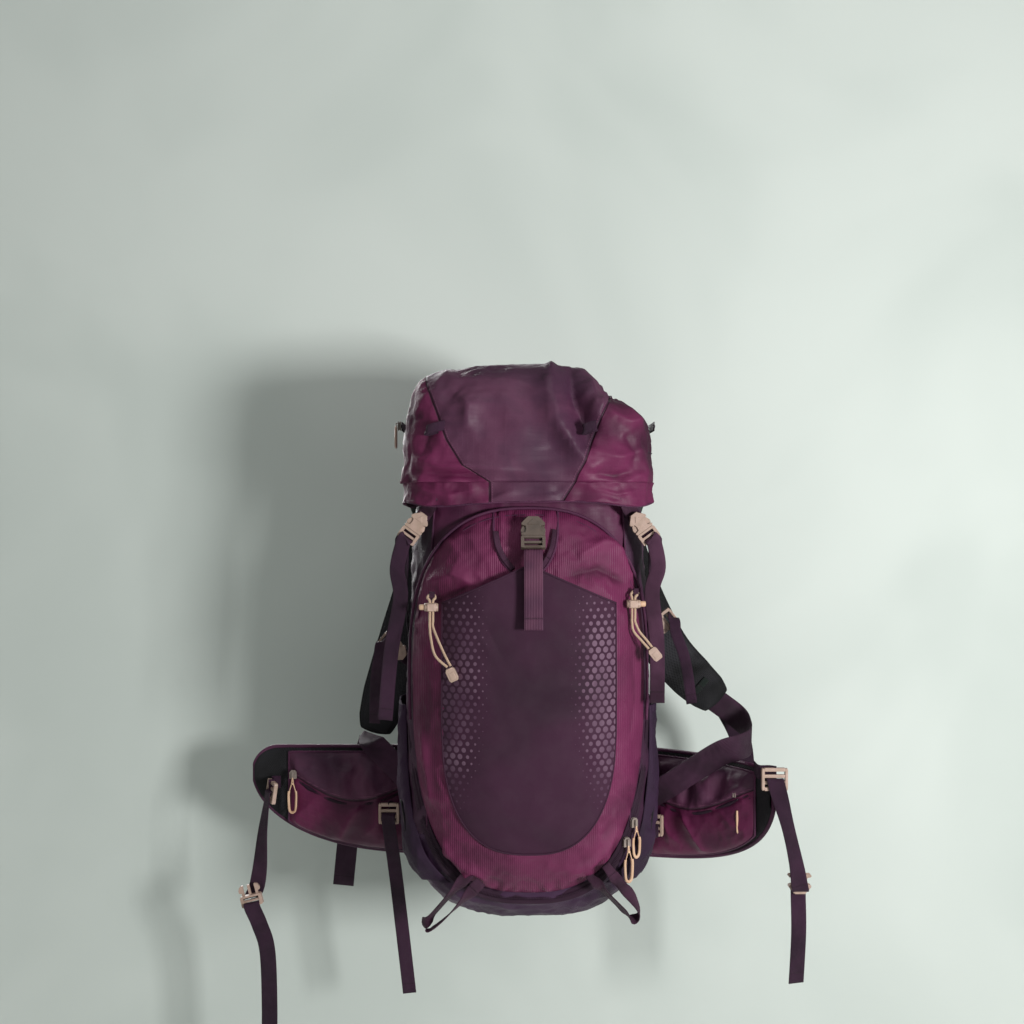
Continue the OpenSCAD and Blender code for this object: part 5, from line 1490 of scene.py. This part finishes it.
# left belt strap: wing to ladder lock, lock to plug, and the tail under it
leftLock, rightLock = Vector((-362, -24, -424)), Vector((319, -172, -374))
buckleL, buckleR = Vector((-392, -24, -570)), Vector((354, -160, -500))
lockTurn = Matrix.Rotation(math.radians(8), 4, "Y") @ Matrix.Rotation(math.radians(-62), 4, "Z")
atBuckleL = turned(buckleL, -14)


def atLockL(p):
    return leftLock + lockTurn @ Vector(p)


out = Vector((math.cos(math.radians(-62)), math.sin(math.radians(-62)), 0))
across = Vector((-out.y, out.x, 0))
anchor = wingPt(-1, 238, leftLock.z + 8.2, wing["t"] / 2 + 1.3)
hold = ribbon("beltHold_left", [anchor, anchor + Vector((-12, -3, 0)),
                                leftLock + across * 5 + Vector((-1, 0, 8.2)),
                                leftLock - across * 5.4 + Vector((1, 0, 8.2))], upward, 18,
              materials["webDark"], n=4)
x = Vector((1, 0, 0.2))
run = ribbon("beltRun_left", [leftLock + across * 4, leftLock - across * 5,
                              leftLock - across * 5.6 + Vector((-1, 0, -12)),
             (-374, -26, -480), (-379, -20, -530), (-385, -14, -562), atBuckleL((0, 6.2, highSlot + 1)),
                              atBuckleL((0, 1, highSlot))],
             [out, out, out, (0.7, -0.7, 0), (0.9, -0.3, 0), x, x, x], 22, materials["webDark"], n=6)
end = ribbon("beltTail_left", [atBuckleL((0, 1, lowSlot)), atBuckleL((0, -6.2, lowSlot)),
                               atBuckleL((0, -6.8, lowSlot - 7)),
             (-378, -28, -612), (-368, -24, -650), (-366, -18, -730), (-368, -12, -818)], (1, 0.2, 0.2), 22,
             materials["webDark"], n=8)
ride("wing_left", hold, run, end, slot="webbing", replaces=["belt_strap_left"])
hardware = [buckleHalf("beltLock_left", ladderPrisms(25), atLockL),
            buckleHalf("beltPlug_left", plugPrisms(25), atBuckleL)]
ride("wing_left", *hardware, slot="tan_acetal", replaces=["belt_hardware_left"])


# right belt strap: the same, with the buckle's socket hanging mouth down
flipTurn = Matrix.Rotation(math.pi, 4, "X")


def atLockR(p):
    return rightLock + Vector(p)


def atBuckleR(p):
    return buckleR + flipTurn @ Vector(p)


socketZ = -socketSlot
anchor = wingPt(1, 246, rightLock.z + 8.2, wing["t"] / 2 + 1.3)
hold = ribbon("beltHold_right", [anchor, (300, -166, anchor.z), rightLock + Vector((-6, 5, 8.2)),
                                 rightLock + Vector((2, -1, 8.2))],
              upward, 18, materials["webDark"], n=4)
run = ribbon("beltRun_right", [rightLock + Vector((0, 1.5, 0)), rightLock + Vector((0, -4.4, 0)),
             rightLock + Vector((3, -5.2, -12)), (334, -178, -430), (346, -174, -480), (352, -169, -512),
             buckleR + Vector((0, -6, socketZ)), buckleR + Vector((0, -1, socketZ))],
             [(1, 0, 0), (1, 0, 0), (1, 0, 0), (0.8, 0.5, 0), (0.8, 0.4, 0), (1, 0.1, 0), (1, 0, 0),
              (1, 0, 0)], 22,
             materials["webDark"], n=6)
end = ribbon("beltTail_right", [buckleR + Vector((0, 2.6, socketZ)), buckleR + Vector((0, 6.4, socketZ)),
             buckleR + Vector((0, 6.6, socketZ - 9)), (355, -152, -580), (353, -146, -648)], (1, 0.3, 0),
             22, materials["webDark"], n=8)
ride("wing_right", hold, run, end, slot="webbing", replaces=["belt_strap_right"])
hardware = [buckleHalf("beltLock_right", ladderPrisms(25), atLockR),
            buckleHalf("beltSocket_right", receiverPrisms(25), atBuckleR)]
ride("wing_right", *hardware, slot="tan_acetal", replaces=["belt_hardware_right"])
print("belt")


# y of the back panel's face, and of the shoulder straps' middle
foamY = -5.4
strapY = 12.9
for side, tag in ((-1, "L"), (1, "R")):
    place = Vector((-195, -30, -454) if side < 0 else (175, -60, -462))
    foot = Vector((-167, -14, -714) if side < 0 else (158, -40, -506))
    turn = 0 if side < 0 else -28
    lock = buckleHalf("stabiliserLock" + tag, ladderPrisms(20), turned(place, 0, 0, turn))
    wide = Vector((math.cos(math.radians(turn)), math.sin(math.radians(turn)), 0))
    o = Vector((wide.y, -wide.x, 0))
    tail = ribbon("stabiliserTail" + tag, [place - o * 1.5, place + o * 4.6,
                                           place + o * 5.4 + Vector((0, 0, -12)),
                  (place + o * 5).lerp(foot, 0.3), place.lerp(foot, 0.65), foot], wide, 19,
                  materials["webDark"], n=7)
    hold = [place + Vector((0, -1.5, 8.2)), place + Vector((3, 4.6, 8.2)), place + Vector((20, 8, -10)),
            (-132, -26, -498),
            (-100, -25.2, -506)] if side < 0 else \
        [place + Vector((0, 1, 8.2)) - o, place + Vector((-3, 5, 8.2)) - o * 3, (158, -36, -474),
         (130, -27, -498), (100, -25.2, -506)]
    holder = ribbon("stabiliserHold" + tag, hold, upward, 16, materials["webDark"], n=5)
    ride("pack", lock, tail, holder, slot="tan_acetal", replaces=["stabilisers"] if side < 0 else ())
    lifter = ribbon("loadLifter" + tag, [(side * 160, foamY - 1.1, 4), (side * 160, foamY - 1.1, 18.4),
                                         (side * 160, 0.1, 21),
                    (side * 160, foamY + 12.1, 18.4), (side * 160, foamY + 12.1, 0)], (1, 0, 0), 20,
                    materials["web"], n=5)
    ride("pack", lifter, slot="webbing", replaces=["load_lifters"] if side < 0 else ())

rightStrap = [(126, -20), (138, -70), (154, -124), (178, -180), (206, -230), (238, -266), (262, -288),
              (276, -302)]
leftStrap = [(-126, -20), (-137, -70), (-152, -120), (-170, -178), (-188, -236), (-204, -290), (-214, -326),
             (-219, -346)]
strapWidths = [0.9, 0.96, 1, 1, 1, 0.98, 0.86, 0.6]


def shoulder(tag, points):
    path = smoothPath([(x, strapY, z) for x, z in points], 8)
    last = len(path) - 1
    tangents = [(path[min(last, i + 1)] - path[max(0, i - 1)]).normalized() for i in range(last + 1)]
    across = [Vector((-t.z, 0, t.x)) for t in tangents]
    shares = [(k / 7, w) for k, w in enumerate(strapWidths)]
    widths = [tableAt(shares, i / last) * 31 * (1 - 0.75 * ease(0.96, 1, i / last) ** 2)
              for i in range(last + 1)]

    def face(sign):
        def at(u, v):
            i = min(last, round(v * last))
            e = 2 * u - 1
            depth = sign * 7 * (0.15 + 0.85 * arch(e, 4)) * arch(v ** 6, 2)
            return path[i] + across[i] * e * widths[i] + Vector((0, depth, 0))
        return at

    def relief(u, v, p):
        groove = math.exp(-((abs(2 * u - 1) - 0.84) / 0.04) ** 2)
        return 0.5 * crumple(p, 40, 3) - 1.6 * groove
    faces = [surface("shoulderFace%s%d" % (tag, sign > 0), face(sign), 28, last, materials["mesh"],
                     (62, 340), relief, False,
                     lambda p, q=sign: Vector((0, q, 0)), None, 0) for sign in (-1, 1)]
    pad = joined("shoulderPad_" + tag, faces)
    edge = [path[i] + across[i] * widths[i] for i in range(last + 1)]
    edge += [path[i] - across[i] * widths[i] for i in range(last, -1, -1)]
    binding = tube("shoulderBinding_" + tag, edge, 2.3, materials["black"], True, sides=12)
    parts = [pad, binding]
    for k in (0.42, 0.78):
        i = round(k * last)
        keeper = [path[i] + across[i] * e * 13 + Vector((0, -8.2 - 1.6 * (1 - e * e), 0))
                  for e in (-1, -0.5, 0, 0.5, 1)]
        parts.append(ribbon("keeper_%s%d" % (tag, round(k * 100)), keeper, tangents[i], 9,
                            materials["corner"], 1.4, 4))
    ride("shoulder_" + tag, *parts, slot="black_mesh", replaces=["shoulder_" + tag])


shoulder("left", leftStrap)
shoulder("right", rightStrap)

rightWeb = [(270, strapY, -298), (300, 7, -320), (313, -30, -334), (306, -84, -340), (290, -108, -344),
            (262, -110, -352),
            (226, -96, -378), (196, -74, -404), (168, -42, -430), (138, -24, -452), (116, -19.9, -466)]
rightWebWide = [(0.7, 0, 0.7), (0.5, 0, 0.85), (0.1, 0, 1), (0, 0, 1), (-0.2, 0, 1),
                (-0.4, 0, 0.9)] + [(-0.6, 0, 0.8)] * 5
leftWeb = [(-221, strapY, -350), (-225, 2, -355), (-218, -10, -361), (-198, -19, -378), (-172, -22, -404),
           (-148, -21, -430),
           (-128, -20, -452), (-116, -19.9, -466)]
leftWebWide = [(1, 0, -0.1), (1, 0, 0.1), (1, 0, 0.2), (0.7, 0, 0.7)] + [(0.75, 0, 0.65)] * 4
webs = [ribbon("shoulderWebR", rightWeb, rightWebWide, 34, materials["webTwill"], 1.5, 6),
        ribbon("shoulderWebL", leftWeb, leftWebWide, 34, materials["webTwill"], 1.5, 6),
        ribbon("shoulderTailL", [(-228, strapY + 6, -356), (-240, 22, -400), (-256, 24, -470),
                                 (-267, 24, -572)], (1, 0, 0), 30,
               materials["webDark"], 1.5, 8),
        ribbon("shoulderTailR", [(290, strapY + 6, -314), (312, 22, -360), (320, 24, -430),
                                 (326, 24, -506)], (1, 0, 0), 30,
               materials["webDark"], 1.5, 8)]
for web, word, side, top in ((webs[0], "right", 1, (0.281, 0.0129, -0.309)),
                             (webs[1], "left", -1, (-0.221, 0.0129, -0.35))):
    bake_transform(web)
    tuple(top)
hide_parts("shoulder_webs")
ride("shoulder_left", webs[2], slot="webbing")
ride("shoulder_right", webs[3], slot="webbing")


# pad with a rounded outline, sewn channels, a side wall and a bound edge
def roundedPad(name, x0, x1, z0, z1, y0, thick, material, corner=24, channels=(), puff=1.0, nu=60, nv=90):
    cx, cz, hx, hz = (x0 + x1) / 2, (z0 + z1) / 2, (x1 - x0) / 2, (z1 - z0) / 2

    def at(u, v):
        a, b = 2 * u - 1, 2 * v - 1
        # pulls the grid's corners in to a rounded outline
        n = 2 + 2.2 * min(hx, hz) / corner
        scale = max(abs(a), abs(b), 1e-6) / max(1e-6, (abs(a) ** n + abs(b) ** n) ** (1 / n))
        x, z = cx + hx * a * scale, cz + hz * b * scale
        edge = max(abs(a), abs(b))
        height = thick * (0.3 + 0.7 * arch(edge, 3.5) ** puff) if edge < 1 else thick * 0.3
        return Vector((x, y0 + height, z))

    def relief(u, v, p):
        return 0.6 * crumple(p, 30, 5) - sum(3 * math.exp(-((p.z - c) / 3.2) ** 2) for c in channels)
    pad = surface(name, at, nu, nv, materials[material], (x1 - x0, z1 - z0), relief, False, -forward, None,
                  0)
    rim = [at(k / 40, 0) for k in range(40)] + [at(1, k / 60) for k in range(60)]
    rim += [at(1 - k / 40, 1) for k in range(40)] + [at(0, 1 - k / 60) for k in range(60)]
    base = [Vector((p.x, y0, p.z)) for p in rim]
    n = len(rim)
    strips = [[i, (i + 1) % n, n + (i + 1) % n, n + i] for i in range(n)]
    wall = makeObject(name + "Wall", rim + base, strips, materials["black"])
    binding = tube(name + "Edge", [Vector((p.x, y0 + thick * 0.3, p.z)) for p in rim], 1.6,
                   materials["black"], True)
    return [pad, wall, binding]


baseParts = roundedPad("backBase", -130, 130, -352, -72.3, foamY, 5, "mesh", 18)
padParts = []
backPad = {"inner": 30, "outer": 108, "bottom": -342, "top": -84, "thick": 16, "corner": 22}
for s, tag in ((-1, "L"), (1, "R")):
    a, b = sorted((s * backPad["inner"], s * backPad["outer"]))
    padParts += roundedPad("backPad" + tag, a, b, backPad["bottom"], backPad["top"], foamY + 4,
                           backPad["thick"], "mesh",
                           backPad["corner"], (-148, -212, -276))
ride("pack", *baseParts, slot="black_mesh", replaces=["back_panel"])
ride("pack", *padParts, slot="black_mesh")
lumbar = roundedPad("lumbarPad", -108, 108, -502, -356, foamY, 24, "mesh", 24, (-404, -452))
ride("pack", *lumbar, slot="black_mesh", replaces=["lumbar_pad"])

yokeOutline = [(-150, -72), (150, -72), (172, -8), (174, 16), (148, 18), (124, -18), (50, -32), (-50, -32),
               (-124, -18),
               (-148, 18), (-174, 16), (-172, -8)]
yoke = moulded("yoke", [(yokeOutline, foamY, foamY + 11)], materials["corner"], lambda p: Vector(p), 4.5, 4)
ride("pack", yoke, slot="black_mesh", replaces=["shoulder_yoke"])
for node, finish in (("frame_sheet", "sheet"), ("frame_stays", "stay")):
    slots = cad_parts[node].data.materials
    slots.clear()
    slots.append(materials[finish])

loopSize = {"radius": 30, "z": -29.3, "foot": -31.7, "width": 20}
r = loopSize["radius"]
haul = [(-r, 0, loopSize["foot"])]
haul += [(r * math.cos(math.radians(a)), 0, loopSize["z"] + r * math.sin(math.radians(a)))
         for a in range(180, -1, -10)]
haul.append((r, 0, loopSize["foot"]))
ride("pack", ribbon("haulLoop", haul, (0, 1, 0), loopSize["width"], materials["web"], 1.5, 3),
     slot="webbing", replaces=["haul_loop"])
print("back")


# plain wall and floor, which aren't part of the pack
def stagePlane(name, corners, base, shade, oneSided=False):
    s = Shader(name)
    colour = s.mix(s.ease(s.noise(1.6, 3, warp=0.4), 0.35, 0.65), rgb(base), rgb(shade))
    s.set("Base Color", colour)
    s.set("Roughness", 0.9)
    s.set("Specular IOR Level", 0.1)
    s.set("Normal", s.bump(s.noise(9, 4), 1.5, 0.3))
    if oneSided:
        clear = s.add("ShaderNodeBsdfTransparent")
        blend = s.add("ShaderNodeMixShader")
        s.put(blend.inputs[0], s.add("ShaderNodeNewGeometry").outputs["Backfacing"])
        s.tree.links.new(s.main.outputs[0], blend.inputs[1])
        s.tree.links.new(clear.outputs[0], blend.inputs[2])
        s.tree.links.new(blend.outputs[0], s.tree.nodes["Material Output"].inputs["Surface"])
    plane = makeObject(name, corners, [[0, 1, 2, 3]], s.mat)
    if oneSided:         # lets light reach the back of the pack
        plane.visible_diffuse = plane.visible_shadow = plane.visible_glossy = False
    return plane


wallY, floorZ, half = 165, -1500, 6000
stagePlane("wall", [(-half, wallY, floorZ), (half, wallY, floorZ), (half, wallY, 4500),
                    (-half, wallY, 4500)], "d6ddd7", "cad2cc", True)
stagePlane("floor", [(-half, -half, floorZ), (half, -half, floorZ), (half, wallY + half, floorZ),
                     (-half, wallY + half, floorZ)],
           "dcdeda", "d4d7d3")


def areaLight(name, place, aim, size, watts):
    data = bpy.data.lights.new(name, "AREA")
    data.size, data.energy = size, watts
    obj = bpy.data.objects.new(name, data)
    obj.location = place
    obj.rotation_euler = (Vector(aim) - Vector(place)).to_track_quat("-Z", "Y").to_euler()
    bpy.context.scene.collection.objects.link(obj)


# place and aim in metres, size of the lamp, watts
for name, place, aim, size, watts in (
        ("key", (1.25, -1.7, -0.1), (0, 0, -0.25), 0.4, 37),
        ("fill", (-1.8, -2.4, 0.9), (0, 0, -0.3), 1.8, 4),
        ("top", (0.3, -1.1, 1.9), (0, 0, -0.2), 1.2, 8),
        ("back", (-0.9, 2.0, 0.7), (0, 0, -0.3), 1.6, 60)):
    areaLight(name, place, aim, size, watts)
world = bpy.data.worlds.new("world")
bpy.context.scene.world = world
world.use_nodes = True
nodes, links = world.node_tree.nodes, world.node_tree.links
nodes["Background"].inputs["Color"].default_value = (0.83, 0.86, 0.85, 1)
nodes["Background"].inputs["Strength"].default_value = 0.27
# the camera sees a paler room than the one that lights the pack
pale, blend = nodes.new("ShaderNodeBackground"), nodes.new("ShaderNodeMixShader")
path = nodes.new("ShaderNodeLightPath")
pale.inputs["Color"].default_value = (0.66, 0.7, 0.68, 1)
links.new(path.outputs["Is Camera Ray"], blend.inputs[0])
links.new(nodes["Background"].outputs[0], blend.inputs[1])
links.new(pale.outputs[0], blend.inputs[2])
links.new(blend.outputs[0], nodes["World Output"].inputs["Surface"])

camera = bpy.data.objects.new("camera", bpy.data.cameras.new("camera"))
view = {"lens": 42.19, "sensor": 36, "place": (-0.021, -1.726, -0.028), "pitch": 90}
camera.data.lens, camera.data.sensor_width = view["lens"], view["sensor"]
camera.location = view["place"]
camera.rotation_euler = (math.radians(view["pitch"]), 0, 0)
bpy.context.scene.collection.objects.link(camera)
bpy.context.scene.camera = camera
bpy.context.scene.view_settings.view_transform = "Standard"
